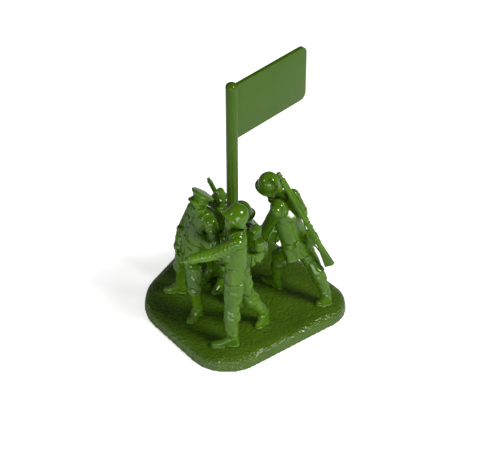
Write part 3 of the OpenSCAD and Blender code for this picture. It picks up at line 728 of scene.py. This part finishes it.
def makeTorso(man, dress):
    s = torsoShape
    low, top, ahead, left, up = trunkAxes(man)
    bulk = dress["bulk"]
    trunk = hullOf([ball(spot(man, name, side), s[name] * bulk, around=24)
                    for name in ("shoulder", "waist") for side in sides])
    chest = [ball(onTrunk(man, t, f * bulk, x), s["muscle"]) for t, f, x in s["muscles"]]
    for at, size, normal in dress.get("pads", ()):
        chest.append(ball(beside(man, at), size, turnTo(Vector(normal), up)))
    body = melt([trunk] + chest, 0.13, 3)
    skin = skinOf(body)
    neck = spot(man, "neck")
    nape = [disc(neck - upward * 0.55, 1.0, 0.9, bevel=0.1), ball(onTrunk(man, 0.95, 0, 0), 0.95)]
    parts = [body, hullOf(nape)]
    ring = [neck + Vector((x, y, -0.2)) * s["collar"] for x, y in arc(25, 350)]
    parts.append(strand(ring, s["collarRoll"]))
    centre = [surfaceAt(skin, lerp(low, top, t), ahead)[0] for t in (1.0, 0.8, 0.6, 0.4, 0.2, 0.0)]
    parts.append(strand(centre, 0.1))
    for t in s["buttons"]:
        at, normal = surfaceAt(skin, lerp(low, top, t) - left * 0.1, ahead)
        parts.append(ball(at + normal * 0.08, s["button"], turnTo(normal)))
    for side, name in ((1, "left"), (-1, "right")):
        at, normal = surfaceAt(skin, onTrunk(man, 0.62, 0, side * 1.05), ahead)
        if dress["pockets"]:
            parts.append(block(at, s["pocket"], turnTo(normal, left), bevel=0.06))
            parts.append(block(at + up * 0.36, s["pocketFlap"], turnTo(normal, left), bevel=0.06))
            parts.append(ball(at + up * 0.3 + normal * 0.16, 0.1))
        aside = left * side
        if dress["lapels"]:
            fold = [neck + aside * 0.75 + ahead * 0.5 - up * 0.1]
            fold += [surfaceAt(skin, onTrunk(man, t, 0, side * x), ahead)[0] for t, x in s["lapel"]]
            parts.append(strand(fold, (0.2, 0.22, 0.1)))
        else:
            fold = [neck + aside * x + ahead * front - up * down for x, front, down in s["wing"]]
            parts.append(strand(fold, (0.1, 0.2, 0.12)))
        parts.append(strap(skin, [neck + aside * 1.0 - up * 0.3, onTrunk(man, 1.3, 0, side * 1.7),
                                  armRoot(man, name) + up * 0.6], 0.5, 0.12, 5))
    ring = [low + up * 0.05 + (ahead * x + left * y * 1.5) * 1.9 for x, y in arc(24)]
    parts.append(strap(skin, ring, *s["belt"], 3))
    at, normal = surfaceAt(skin, low + up * 0.05, ahead)
    parts.append(block(at + normal * 0.22, s["beltPlate"], turnTo(normal, left), bevel=0.05))
    parts.append(block(at + normal * 0.28, s["buckle"], turnTo(normal, left), bevel=0.04))
    for side, front in dress["pouches"]:
        at, normal = surfaceAt(skin, low - up * 0.05, (ahead * front + left * side).normalized())
        turn = turnTo(normal, up.cross(normal))
        parts.append(block(at + normal * 0.3, s["pouch"], turn, bevel=0.12))
        parts.append(block(at + normal * 0.36 + up * 0.24, s["pouchFlap"], turn, bevel=0.12))
        parts.append(ball(at + normal * 0.68 + up * 0.05, 0.1))
    for path in dress["straps"]:
        parts.append(strap(skin, [onTrunk(man, *p) for p in path], *s["strap"], 7))
    piece = melt(parts, smooth=1)
    start, end = lerp(low, top, 0.03), lerp(low, top, 0.8)
    ripple(piece, start, end, 3.6, -ahead, 0.9, 6, 0.06, 0.25, dress["phase"], 0.2)
    seams = [centre]
    for side in sides:
        shoulder = spot(man, "shoulder", side)
        across = armRoot(man, side) - shoulder
        seamAt, turn = shoulder + across * 0.42, turnTo(across)
        seams.append([seamAt + turn @ Vector((x, y, 0)) * s["seam"] for x, y in arc(25, 375)])
    carve(piece, seams, 0.12, 0.14)
    for at, size, normal in dress.get("taut", ()):  # cloth pulled smooth over a shoulder blade
        piece = joined([piece, ball(beside(man, at), size, turnTo(Vector(normal), up), around=32)])
    handToMan(piece, man, "torso")


# Each finger is its place across the palm and its length
handShape = {"wrist": 0.36, "knuckle": 0.24, "palm": 0.85, "rootAt": 0.9,
             "fingers": ((-0.4, 0.8), (-0.14, 0.95), (0.13, 0.95), (0.38, 0.8)),
             "finger": (0.17, 0.155, 0.11), "straight": 0.05, "thumb": (0.2, 0.17, 0.12)}


def handParts(wrist, tip, back, pose):
    h = handShape
    along = (tip - wrist).normalized()
    side = along.cross(back).normalized()
    back = side.cross(along)
    palm = wrist + along * h["palm"]
    parts = [hullOf([ball(wrist + along * 0.1, h["wrist"]), ball(palm + side * 0.3, h["knuckle"]),
                     ball(palm - side * 0.3, h["knuckle"])])]
    for k, (offset, length) in enumerate(h["fingers"]):
        bend = h["straight"] if pose.get("pointing") and k == 3 else pose["curl"]
        joint = wrist + along * h["rootAt"] + side * offset * pose["thumb"] * -1
        points = [joint - along * 0.1]
        for turn in (bend * 0.6, bend * 1.5):
            joint = joint + (along * math.cos(turn) - back * math.sin(turn)) * length * 0.5
            points.append(joint)
        parts.append(strand(points, h["finger"]))
    root = wrist + along * 0.3 + side * pose["thumb"] * -0.3
    parts.append(strand([root, root + along * 0.35 - side * pose["thumb"] * 0.28 - back * 0.1,
                         root + along * 0.75 - side * pose["thumb"] * 0.2 - back * 0.2], h["thumb"]))
    return parts


# The folds of the upper and lower sleeve: start, end, reach, how many and their phase
sleeve = {"shoulder": 1.05, "upper": 1.03, "elbow": 0.98, "wrist": 0.72, "bulge": (1.0, 0.92),
          "cuff": (0.8, 0.5), "hand": (0.55, 0.45),
          "folds": ((0.1, 1.1, 1.45, 0.9, 0), (-0.05, 0.9, 1.4, 1.0, 2)),
          "foldDepth": 0.035, "voxel": 0.065}


def makeArm(man, side, pose):
    s = sleeve
    root, elbow, wrist = armRoot(man, side), spot(man, "elbow", side), spot(man, "wrist", side)
    upper, fore = (elbow - root).normalized(), (wrist - elbow).normalized()
    inner = (fore - upper).normalized() if (fore - upper).length > 0.2 else upward
    parts = [ball(root, s["shoulder"]), limb(root, elbow, s["upper"], s["elbow"]),
             limb(elbow, wrist, s["elbow"], s["wrist"]), limb(elbow, lerp(elbow, wrist, 0.5), *s["bulge"]),
             disc(wrist - fore * 0.15, *s["cuff"], fore, bevel=0.1),
             limb(wrist - fore * 0.3, wrist + fore * 0.15, *s["hand"])]
    parts += handParts(wrist, spot(man, "hand", side), Vector(pose["back"]), pose)
    piece = melt(parts, s["voxel"], 1)
    folds = pose["folds"]
    for a, b, (start, end, reach, share, phase) in zip((root, elbow), (elbow, wrist), s["folds"]):
        start, end = lerp(a, b, start), lerp(a, b, end)
        ripple(piece, start, end, reach, inner, folds * share, 1, s["foldDepth"], 0.45, folds + phase, 0.9)
    handToMan(piece, man, side + "-arm")


# A line across the middle from points of its left half, with the same points mirrored before them
def arch(*half):
    return [(x, -y, z) for x, y, z in half[:-1]] + [(x, y, z) for x, y, z in half[::-1]]


# Heads and hats are modelled looking along X, about the middle of the skull
def faceParts():
    # skull, jaw, chin, brows and nose
    parts = [ball((0, 0, 0.05), (1.18, 1.0, 1.2), around=24),
             hullOf([ball((0.42, 0, -0.35), (0.68, 0.74, 0.8)), ball((0.68, 0, -1.12), (0.28, 0.34, 0.26))]),
             ball((0.93, 0, -1.2), (0.2, 0.26, 0.18)),
             strand(arch((0.78, 0.66, 0.02), (1.03, 0.32, 0.13), (1.06, 0, 0.08)),
                    (0.12, 0.15, 0.12, 0.15, 0.12)),
             strand([(x, 0, z) for x, z in ((1.02, 0.02), (1.14, -0.28), (1.26, -0.52), (1.12, -0.66))],
                    (0.09, 0.12, 0.17, 0.12))]
    for side in (1, -1):  # eye, cheek, nostril and ear
        parts.append(ball((0.9, side * 0.34, -0.13), (0.17, 0.2, 0.13)))
        parts.append(ball((0.76, side * 0.5, -0.45), (0.28, 0.26, 0.24)))
        parts.append(ball((1.1, side * 0.13, -0.62), 0.11))
        parts.append(hullOf([ball((-0.02, side * 0.98, -0.12), (0.2, 0.1, 0.2)),
                             ball((0.04, side * 0.94, -0.48), (0.12, 0.09, 0.12))]))
    for lip in (((0.88, 0.3, -0.93), (1.06, 0, -0.88)), ((0.88, 0.26, -1.0), (1.04, 0, -1.03))):
        parts.append(strand(arch(*lip), (0.05, 0.1, 0.05)))
    return parts


helmetShape = {"profile": ((2.05, -0.55), (1.93, -0.4), (1.8, -0.2), (1.75, 0.05), (1.73, 0.45),
                           (1.62, 0.93), (1.38, 1.37), (1.02, 1.73), (0.56, 1.95), (0.01, 2.03)),
               "flareFrom": 0.35, "flareOver": 0.9, "visor": 0.16, "visorRise": 0.1, "nape": 0.02,
               "narrow": 0.06, "drop": 0.16, "wall": 0.14, "rim": 2.04, "rimAt": -0.56, "rimRoll": 0.12,
               "rivet": (0.12, 0.08, 0.12)}


def steelHelmet():
    h = helmetShape
    shell = turned(h["profile"], around=48, closed=False)
    for v in shell.data.vertices:
        r, low = math.hypot(v.co.x, v.co.y), max(0, min(1, (h["flareFrom"] - v.co.z) / h["flareOver"]))
        ahead = v.co.x / max(r, 0.01)
        v.co.x += low * (h["visor"] if ahead > 0 else h["nape"]) * abs(ahead) ** 2
        v.co.y *= 1 - h["narrow"] * low
        v.co.z -= low * h["drop"] * (1 - max(0, ahead)) - low * low * h["visorRise"] * max(0, ahead)
    finished(shell, "SOLIDIFY", thickness=h["wall"], offset=-1)
    finished(shell, "SUBSURF", levels=1, render_levels=1)
    edge = []
    for x, y in arc(8):
        reach = h["rim"] + (h["visor"] if x > 0 else h["nape"]) * x * x
        edge.append(Vector((x * reach, y * h["rim"] * (1 - h["narrow"]),
                            h["rimAt"] - h["drop"] * (1 - max(0, x)) + h["visorRise"] * max(0, x))))
    parts = [shell, strand(edge, h["rimRoll"])]
    for side in (1, -1):  # a rivet and the chin strap
        parts.append(ball((0.1, side * 1.7, 0.2), h["rivet"]))
        parts.append(strand([(0.25, side * 1.35, -0.5), (0.45, side * 1.0, -0.95), (0.72, side * 0.42, -1.42),
                             (0.78, 0, -1.5)], 0.09))
    return joined(parts)


capShape = {"profile": ((1.22, -0.2), (1.25, 0.0), (1.27, 0.42), (1.5, 0.75), (1.78, 1.02), (1.84, 1.14),
                        (1.72, 1.28), (1.25, 1.36), (0.6, 1.38), (0.01, 1.36)),
            "band": 0.42, "widen": 0.02, "forward": 0.14, "lean": 0.1, "bandTop": (1.29, 0.42, 0.07),
            "bandFoot": (1.27, 0.02, 0.06),
            "peak": ((1.02, 0.0), (1.08, 0.05), (1.06, 0.12), (0.5, 0.2), (0.01, 0.21))}


def peakedCap():
    c = capShape
    cap = turned(c["profile"], around=48)
    for v in cap.data.vertices:
        lift = max(0, v.co.z - c["band"])
        v.co.x = v.co.x * (1 + c["widen"] * lift) + lift * c["forward"]
        v.co.z += lift * v.co.x * c["lean"]
    parts = [cap]
    for radius, rise, roll in (c["bandTop"], c["bandFoot"]):
        parts.append(strand([(x * radius, y * radius, rise) for x, y in arc(15)], roll))
    peak = turned(c["peak"])
    for v in peak.data.vertices:
        v.co.x = v.co.x * 0.95 + 0.85
        v.co.y *= 1.12
        v.co.z -= max(0, v.co.x - 0.7) * 0.42 + v.co.y * v.co.y * 0.12
    cord = strand(arch((0.95, 1.0, 0.08), (1.28, 0.45, 0.1), (1.38, 0, 0.11)), 0.08)
    return joined(parts + [peak, cord])


def sideCap():
    cap = hullOf([disc((x, 0, 0.02), 1.12, 0.28, bevel=0, around=32) for x in (-0.4, 0.5)]
                 + [ball((x, 0, 0.98), 0.58) for x in (-0.5, 0.55)])
    flap = hullOf([disc((x, 0, 0.1), 1.22, 0.3, bevel=0.04, around=32) for x in (-0.4, 0.5)]
                  + [ball((x, y * side, z), 0.14) for x, y, z in ((-0.95, 0.45, 0.62), (0.75, 0.5, 0.72))
                     for side in (1, -1)])
    piece = melt([cap, flap], 0.06, 1)
    fold = [(x, 0, 1.6) for x in (-0.9, -0.3, 0.4, 1.0)]
    turnUps = [[(-1.0, y * 0.45, 0.72), (0, y * 0.9, 0.8), (0.8, y * 0.5, 0.82)] for y in (1, -1)]
    return carve(piece, [[Vector(p) for p in cut] for cut in [fold] + turnUps], 0.1, 0.12)


def makeHead(man, look):
    centre, neck = spot(man, "head"), spot(man, "neck")
    ahead = Vector(look["facing"]).normalized()
    faceAt = centre + ahead * look.get("faceOut", 0) - upward * look.get("faceDown", 0)
    face = melt([placed(joined(faceParts()), levelTurn(ahead), faceAt),
                 limb(neck - upward * 0.25, lerp(neck, faceAt, 0.7), 0.72, 0.7)], 0.06, 2)
    hatTurn = levelTurn(Vector(look["hatFacing"]).normalized()) @ spin(look["roll"], "X")
    handToMan(joined([face, placed(look["hat"](), hatTurn, centre)]), man, "head", body=man + "_head")


def bothSides(path):
    return path, tuple((share, front, -left) for share, front, left in path)


def makeMan(man, dress, arms, head):
    makeLegs(man, dress)
    makeTorso(man, dress)
    for side, pose in arms.items():
        makeArm(man, side, pose)
    makeHead(man, head)


# Rifles are modelled along X from the butt, with the barrel's axis at zero
rifleShape = {"stock": 0.62, "butt": 0.24, "barrel": 0.26, "handguard": 0.4, "handguardTo": 0.93,
              "muzzle": (0.29, 0.3), "guard": ((1.28, -0.4), (1.22, -0.78), (1.05, -0.8), (0.98, -0.42)),
              "bolt": ((1.25, 0.1, 0.2), (1.25, 0.5, 0.12), (1.22, 0.62, -0.05)),
              "band": (0.26, 0.66, 0.66), "sling": 0.1, "voxel": 0.065}


def rifleParts(length):
    r = rifleShape
    stock, butt = length * r["stock"], length * r["butt"]
    wood = (((0.12, -0.36, (0.2, 0.6, 1.2), 0.06), (butt * 0.85, -0.16, (0.2, 0.5, 0.62), 0.08)),
            ((butt * 0.85, -0.16, (0.3, 0.5, 0.6), 0.12), (butt * 1.2, -0.12, (0.3, 0.56, 0.66), 0.12)),
            ((butt * 1.2, -0.1, (0.3, 0.6, 0.66), 0.12), (stock, -0.02, (0.2, 0.5, 0.42), 0.1)))
    parts = [hullOf([block((x, 0, z), size, bevel=bevel) for x, z, size, bevel in ends]) for ends in wood]
    parts += [
        block((0.02, 0, -0.36), (0.1, 0.64, 1.26), bevel=0.03),  # butt plate
        strand([(butt, 0, 0.02), (length, 0, 0.02)], r["barrel"], smooth=False),
        strand([(stock * 0.78, 0, 0.02), (length * r["handguardTo"], 0, 0.02)], r["handguard"], smooth=False),
        disc((length - 0.2, 0, 0.02), *r["muzzle"], Vector((1, 0, 0)), bevel=0.06),
        block((length - 0.55, 0, 0.34), (0.2, 0.1, 0.34), bevel=0.03),  # foresight and backsight
        block((butt * 1.75, 0, 0.3), (0.5, 0.26, 0.24), bevel=0.06),
        block((butt * 1.55, 0, -0.62), (0.85, 0.34, 0.5), bevel=0.08),  # magazine, guard, trigger and bolt
        strand([(butt * x, 0, z) for x, z in r["guard"]], 0.08),
        strand([(butt * 1.14, 0, -0.42), (butt * 1.12, 0, -0.68)], 0.07, smooth=False),
        disc((butt * 1.35, 0, 0.2), 0.2, 0.8, Vector((1, 0, 0)), bevel=0.05),
        strand([(butt * x, y, z) for x, y, z in r["bolt"]], (0.1, 0.09, 0.13)),
    ]
    parts += [block((x, 0, 0.02), r["band"], bevel=0.12) for x in (stock * 0.74, stock * 0.97)]
    sling = ((butt * 0.6, 0, -0.62), (butt * 1.4, 0, -1.0), (stock * 0.6, 0, -0.85), (stock * 0.8, 0, -0.34))
    parts.append(strand(sling, r["sling"]))
    return parts


def makeGun(man, part, gun):
    start, end = beside(man, gun["butt"]), beside(man, gun["muzzle"])
    shape = joined(rifleParts(gun["length"]))
    for v in shape.data.vertices:
        v.co.y *= gun["girth"]
        v.co.z *= gun["girth"]
    turn = levelTurn((end - start).normalized()) @ spin(gun["roll"], "X")
    handToMan(melt([placed(shape, turn, start)], rifleShape["voxel"], 1), man, part)


def boxPack(at, turn, size):
    w, d, h = size
    parts = [block((0, 0, 0), (w, d, h), bevel=0.28, rows=3),
             block((0, 0.06, h * 0.28), (w + 0.1, d + 0.1, h * 0.46), bevel=0.28, rows=3)]
    for x in (-w * 0.27, w * 0.27):  # straps and their buckles
        parts.append(block((x, 0, 0), (0.24, d + 0.3, h + 0.16), bevel=0.1))
        for y in (d / 2 + 0.14, -d / 2 - 0.14):
            parts.append(block((x, y, -h * 0.12), (0.36, 0.14, 0.3), bevel=0.04))
    parts.append(strand([(-w / 2, d / 2 - 0.15, -h * 0.3), (-w / 2 - 0.06, 0, -h * 0.34),
                         (-w / 2, -d / 2 + 0.15, -h * 0.3)], (0.08, 0.12, 0.08)))
    return placed(joined(parts), turn, at)


def waterBottle(at, along, radius, depth):
    parts = [disc((0, 0, 0), radius, depth, bevel=0.26), disc((0, 0, 0), radius + 0.05, 0.16, bevel=0.04),
             block((0, 0, 0), (0.26, 2 * radius + 0.14, depth + 0.12), bevel=0.06),
             disc((0, radius + 0.1, 0), 0.2, 0.34, Vector((0, 1, 0)), bevel=0.05)]
    parts += [ball((0, 0, z), (radius * 0.55, radius * 0.55, 0.1)) for z in (depth / 2, -depth / 2)]
    return placed(joined(parts), turnTo(along), at)


# The pointing man: steel helmet, left arm out, haversack behind
pointerDress = {"thigh": 1.8, "bulk": 1.12, "point": 2.0, "bootTop": 0.36, "flare": 0.1, "bag": 1.26,
                "shaft": 1.04, "hem": 1.95, "hang": -0.4, "phase": 0.6, "drape": 0, "pockets": True,
                "lapels": False,
                "pads": (((-0.06, -0.03, 0.66), (1.6, 1.5, 1.9), (-0.6, -0.75, 0.2)),
                         ((-0.06, -0.035, 0.6), (1.75, 1.6, 1.3), (-0.6, -0.75, 0))),
                "pouches": ((0.75, 0.9), (-0.75, 0.9)),
                "straps": bothSides(((0.02, 1.9, 0.7), (0.5, 1.9, 0.8), (1.1, 1.2, 1.0), (1.35, 0, 1.15),
                                     (1.1, -1.2, 0.9), (0.5, -1.9, 0.4), (0.02, -1.9, -0.3)))}
pointerArms = {"left": {"folds": 6, "curl": 1.5, "back": (0, 0, 1), "pointing": True, "thumb": 1},
               "right": {"folds": 3, "curl": 0.9, "back": (0.3, 1, 0), "thumb": -1}}
pointerHead = {"facing": (-0.85, -0.42, -0.12), "hatFacing": (-0.8, -0.15, 0.58), "roll": 12,
               "hat": steelHelmet, "faceOut": 0.7, "faceDown": 0.5}
pointerGear = {"pack": (0.07, 0.07, 0.695), "packSize": (2.3, 1.45, 2.35), "packTurn": 60, "tinRise": 1.19,
               "tin": (0.8, 2.0), "tinRibs": (0.62, -0.62), "tinRib": (0.85, 0.16),
               "can": (0.1, 0.01, 0.69), "canSize": (0.8, 1.6), "canRibs": (0.5, -0.35),
               "canRib": (0.84, 0.14), "bottle": (0.095, 0.015, 0.6), "bottleSize": (0.9, 0.9),
               "bottleTurn": 40, "bag": (0.04, 0.01, 0.585), "bagSize": (1.95, 1.05, 2.2)}


def makePointerGear(g):
    at, turn, along = beside("pointer", g["pack"]), spin(g["packTurn"]), Vector((1, 0, 0))
    pack = boxPack(at, turn, g["packSize"])
    tin = [disc((0, 0, g["tinRise"]), *g["tin"], along, bevel=0.12)]
    tin += [disc((x, 0, g["tinRise"]), *g["tinRib"], along, bevel=0.04) for x in g["tinRibs"]]
    tin = placed(joined(tin), turn, at)
    can = beside("pointer", g["can"])
    ration = [disc(can, *g["canSize"], bevel=0.12)]
    ration += [disc(can + upward * z, *g["canRib"], bevel=0.04) for z in g["canRibs"]]
    handToMan(melt([pack, tin, joined(ration)], 0.08, 1), "pointer", "haversack", "pack")
    along = spin(g["bottleTurn"]) @ Vector((0, -1, 0))
    bottle = waterBottle(beside("pointer", g["bottle"]), along, *g["bottleSize"])
    bag = boxPack(beside("pointer", g["bag"]), Matrix.Identity(3), g["bagSize"])
    handToMan(melt([bottle, bag], 0.06, 1), "pointer", "bottle", "canteen")


makeMan("pointer", pointerDress, pointerArms, pointerHead)
makePointerGear(pointerGear)
print("pointing man moulded")

# The officer: peaked cap, hand at his chest, flared breeches
officerDress = {"thigh": 1.42, "bulk": 1.0, "point": 0.3, "bootTop": 0.16, "flare": 0.42, "bag": 0.98,
                "shaft": 0.88, "hem": 1.7, "hang": 0.3, "phase": 1.9, "drape": 0, "pockets": True,
                "lapels": True, "pouches": ((-0.8, 0.7),),
                "straps": (((0.02, 1.9, 0.9), (0.5, 1.9, 0.5), (1.1, 1.2, -0.7), (1.35, 0, -1.1),
                            (1.1, -1.2, -0.8), (0.5, -1.9, 0.3), (0.02, -1.9, 0.9)),)}
officerArms = {"left": {"folds": 4, "curl": 1.1, "back": (0, -1, 0.4), "thumb": 1},
               "right": {"folds": 4, "curl": 0.7, "back": (-1, 0.3, 0), "thumb": 1}}
officerHead = {"facing": (-0.68, -0.7, -0.18), "hatFacing": (-0.726, -0.455, 0.515), "roll": 1,
               "hat": peakedCap}
holster = {"at": (0.115, -0.03, 0.46), "size": (0.85, 0.85, 2.3), "flap": (0.95, 0.95, 0.95),
           "flapRise": 0.72, "tab": (1.0, 0.26, 0.9), "tabRise": 0.5, "stud": (0.1, -0.5, 0.25),
           "studRadius": 0.12}


def makeHolster(h):
    at = beside("officer", h["at"])
    parts = [block(at, h["size"], bevel=0.25, rows=3),
             block(at + upward * h["flapRise"], h["flap"], bevel=0.25, rows=3),
             block(at + upward * h["tabRise"], h["tab"], bevel=0.06),
             ball(at + Vector(h["stud"]), h["studRadius"])]
    handToMan(melt(parts, 0.07, 1), "officer", "holster")


makeMan("officer", officerDress, officerArms, officerHead)
makeHolster(holster)
print("officer moulded")

# The rifleman behind them: side cap, carbine slung
riflemanDress = {"thigh": 1.42, "bulk": 1.0, "point": 1.2, "bootTop": 0.34, "flare": 0.12, "bag": 1.08,
                 "shaft": 0.98, "hem": 1.7, "hang": 0.4, "phase": 3.1, "drape": 0, "pockets": True,
                 "lapels": False, "pouches": ((0.7, 0.9), (-0.7, 0.9)),
                 "straps": (((0.02, 1.9, -0.9), (0.5, 1.9, -0.2), (1.1, 1.2, 0.8), (1.35, 0, 1.1),
                             (1.1, -1.2, 0.7), (0.5, -1.9, -0.3), (0.02, -1.9, -0.9)),)}
riflemanArms = {"left": {"folds": 4, "curl": 1.1, "back": (0, -0.3, 1), "thumb": 1},
                "right": {"folds": 4, "curl": 1.1, "back": (-1, 0, 0.4), "thumb": -1}}
riflemanHead = {"facing": (-0.42, -0.85, -0.2), "hatFacing": (-0.436, -0.894, 0.105), "roll": 0,
                "hat": sideCap}
carbine = {"butt": (0.065, 0.08, 0.43), "muzzle": (-0.05, 0.06, 0.73), "length": 9.0, "roll": 180,
           "girth": 1}

makeMan("rifleman", riflemanDress, riflemanArms, riflemanHead)
makeGun("rifleman", "carbine", carbine)
print("rifleman moulded")

# The man who squats behind the pole
croucherDress = {"thigh": 1.42, "bulk": 1.0, "point": 1.0, "bootTop": 0.36, "flare": 0.1, "bag": 1.05,
                 "shaft": 0.98, "hem": 1.66, "hang": 0.3, "phase": 4.0, "drape": 0.35, "pockets": True,
                 "lapels": False, "pouches": ((0.8, 0.8),),
                 "straps": bothSides(((0.02, 1.9, 0.8), (0.5, 1.9, 0.8), (1.1, 1.2, 0.9), (1.35, 0, 1.1),
                                      (1.1, -1.2, 0.9), (0.5, -1.9, 0.8)))}
croucherArms = {"left": {"folds": 4, "curl": 0.9, "back": (0, -0.2, 1), "thumb": -1},
                "right": {"folds": 4, "curl": 0.9, "back": (0, 0.2, 1), "thumb": 1}}
croucherHead = {"facing": (-0.95, -0.2, -0.2), "hatFacing": (-0.95, -0.2, -0.24), "roll": 0,
                "hat": steelHelmet}
fieldPack = {"at": (0.145, -0.02, 0.245), "size": (2.6, 1.9, 2.4), "turn": 10, "lean": 12}


def makeFieldPack(p):
    pack = boxPack(beside("croucher", p["at"]), spin(p["turn"]) @ spin(p["lean"], "Y"), p["size"])
    handToMan(melt([pack], 0.08, 1), "croucher", "pack")


makeMan("croucher", croucherDress, croucherArms, croucherHead)
makeFieldPack(fieldPack)
print("squatting man moulded")

# The man who leans forward, rifle and bedroll on his back
leanerDress = {"thigh": 1.48, "bulk": 1.1, "point": 1.2, "bootTop": 0.4, "flare": 0.1, "bag": 1.08,
               "shaft": 1.0, "hem": 2.0, "hang": 0.8, "phase": 5.2, "drape": 0.4, "pockets": False,
               "lapels": False, "pads": (((-0.12, 0.05, 0.7), (1.1, 1.2, 0.8), (0, 0, 1)),),
               "taut": (((-0.0573, -0.0061, 0.6655), (1.95, 1.5, 0.2), (0.317, -0.607, 0.729)),),
               "pouches": ((0.9, -0.5), (0.95, -0.05)),
               "straps": (((0.0, -1.9, 1.2), (0.4, -1.9, 1.0), (0.8, -1.8, 0.4), (1.15, -1.2, -0.7),
                           (1.35, 0, -1.1), (1.1, 1.2, -0.9), (0.5, 1.9, -0.1)),
                          ((0.1, -1.9, 0.5), (0.5, -1.9, 0.6), (1.1, -1.2, 0.9), (1.35, 0, 1.1),
                           (1.1, 1.2, 0.9), (0.5, 1.9, 0.8)))}
leanerArms = {"left": {"folds": 4, "curl": 0.6, "back": (0, -0.4, 1), "thumb": -1},
              "right": {"folds": 4, "curl": 0.6, "back": (-0.3, 0.3, 1), "thumb": 1}}
leanerHead = {"facing": (-0.85, 0.4, -0.35), "hatFacing": (-0.95, 0.31, -0.02), "roll": -17,
              "hat": steelHelmet}
rifle = {"butt": (0.205, -0.1, 0.325), "muzzle": (-0.135, 0.03, 0.93), "length": 18.0, "roll": 0,
         "girth": 1.3}
leanerGear = {"rollLow": (0.02, 0.018, 0.625), "rollHigh": (-0.035, 0.052, 0.74), "roll": 0.94,
              "rollStraps": (0.12, 0.88), "rollStrap": (1.02, 0.26), "rollFolds": 0.1,
              "bottle": (0.08, 0.0, 0.45), "bottleSize": (1.05, 1.1), "turn": 50, "tilt": 75,
              "pouch": (0.07, -0.003, 0.408), "pouchSize": (1.65, 1.1, 1.15)}


def makeLeanerGear(g):
    low, high = beside("leaner", g["rollLow"]), beside("leaner", g["rollHigh"])
    along = (high - low).normalized()
    parts = [limb(low, high, g["roll"], g["roll"])]
    parts += [disc(lerp(low, high, t), *g["rollStrap"], along, bevel=0.07) for t in g["rollStraps"]]
    piece = melt(parts, 0.065, 1)
    ripple(piece, low - along, high + along, 1.3, Vector((0.5, -1, 0)), 1, 4, g["rollFolds"], 0.1, 0.5, 0.2)
    handToMan(piece, "leaner", "bedroll")
    turn, tilt = spin(g["turn"]), math.radians(g["tilt"])
    along = turn @ Vector((0, -math.sin(tilt), math.cos(tilt)))
    bottle = waterBottle(beside("leaner", g["bottle"]), along, *g["bottleSize"])
    pouch = boxPack(beside("leaner", g["pouch"]), turn, g["pouchSize"])
    handToMan(melt([bottle, pouch], 0.06, 1), "leaner", "bottle", "canteen")


makeMan("leaner", leanerDress, leanerArms, leanerHead)
makeGun("leaner", "rifle", rifle)
makeLeanerGear(leanerGear)
print("leaning man moulded")

# Floor, lamps and the photograph's camera
studio = {"aim": (0.0008, -0.0004, 0.0154), "distance": 0.258, "rise": 38.5, "lens": 118.1, "sensor": 36,
          "world": 0.06, "floorSize": 2.4, "floorWhite": 0.92, "floorLift": 0.68}
lamps = (  # name, place, width, power and height
    ("keyLamp", (0.3, -0.16, 0.37), 0.14, 2.0, 0.14),
    ("leftLamp", (-0.375, -0.135, 0.31), 0.05, 0.25, 0.05),
    ("frontLamp", (-0.1, -0.8, 0.12), 0.9, 3.3, 0.2),
)


def plainFloor(s):
    bpy.ops.object.select_all(action="DESELECT")
    bpy.ops.mesh.primitive_plane_add(size=s["floorSize"], location=(0, 0, 0))
    floor = bpy.context.object
    floor.name = "floor"
    material = bpy.data.materials.new("floorPaper")
    material.use_nodes = True
    nodes, links = material.node_tree.nodes, material.node_tree.links
    shader = nodes["Principled BSDF"]
    shader.inputs["Base Color"].default_value = (s["floorWhite"], s["floorWhite"], s["floorWhite"] * 0.99, 1)
    shader.inputs["Roughness"].default_value = 0.9
    shader.inputs["Emission Color"].default_value = (1, 1, 1, 1)
    rays = nodes.new("ShaderNodeLightPath")
    lift = nodes.new("ShaderNodeMath")
    lift.operation = "MULTIPLY"
    lift.inputs[1].default_value = s["floorLift"]
    links.new(rays.outputs["Is Camera Ray"], lift.inputs[0])
    links.new(lift.outputs["Value"], shader.inputs["Emission Strength"])
    floor.data.materials.append(material)


def lamp(name, at, size, power, tall):
    bpy.ops.object.light_add(type="AREA", location=at)
    light = bpy.context.object
    light.name = name
    light.data.energy = power
    light.data.size = size
    if tall != size:
        light.data.shape = "RECTANGLE"
        light.data.size_y = tall
    light.rotation_euler = (Vector(studio["aim"]) - Vector(at)).to_track_quat("-Z", "Y").to_euler()


def studioWorld(s):
    world = bpy.data.worlds.new("softRoom")
    bpy.context.scene.world = world
    world.use_nodes = True
    nodes, links = world.node_tree.nodes, world.node_tree.links
    back = nodes["Background"]
    back.inputs["Color"].default_value = (1, 1, 1, 1)
    rays = nodes.new("ShaderNodeLightPath")
    shade = nodes.new("ShaderNodeMapRange")
    shade.inputs["To Min"].default_value = s["world"]
    shade.inputs["To Max"].default_value = 1
    links.new(rays.outputs["Is Camera Ray"], shade.inputs["Value"])
    links.new(shade.outputs["Result"], back.inputs["Strength"])


def photoCamera(s):
    bpy.ops.object.camera_add()
    camera = bpy.context.object
    camera.name = "photoCamera"
    rise = math.radians(s["rise"])
    camera.location = Vector(s["aim"]) + Vector((0, -math.cos(rise), math.sin(rise))) * s["distance"]
    camera.rotation_euler = (math.pi / 2 - rise, 0, 0)
    camera.data.lens = s["lens"]
    camera.data.sensor_width = s["sensor"]
    camera.data.sensor_fit = "HORIZONTAL"
    camera.data.clip_start = 0.01
    camera.data.clip_end = 10
    return camera


plainFloor(studio)
studioWorld(studio)
for settings in lamps:
    lamp(*settings)
bpy.context.scene.camera = photoCamera(studio)
bpy.context.scene.view_settings.view_transform = "Standard"

bpy.context.view_layer.update()
print("scene ready")
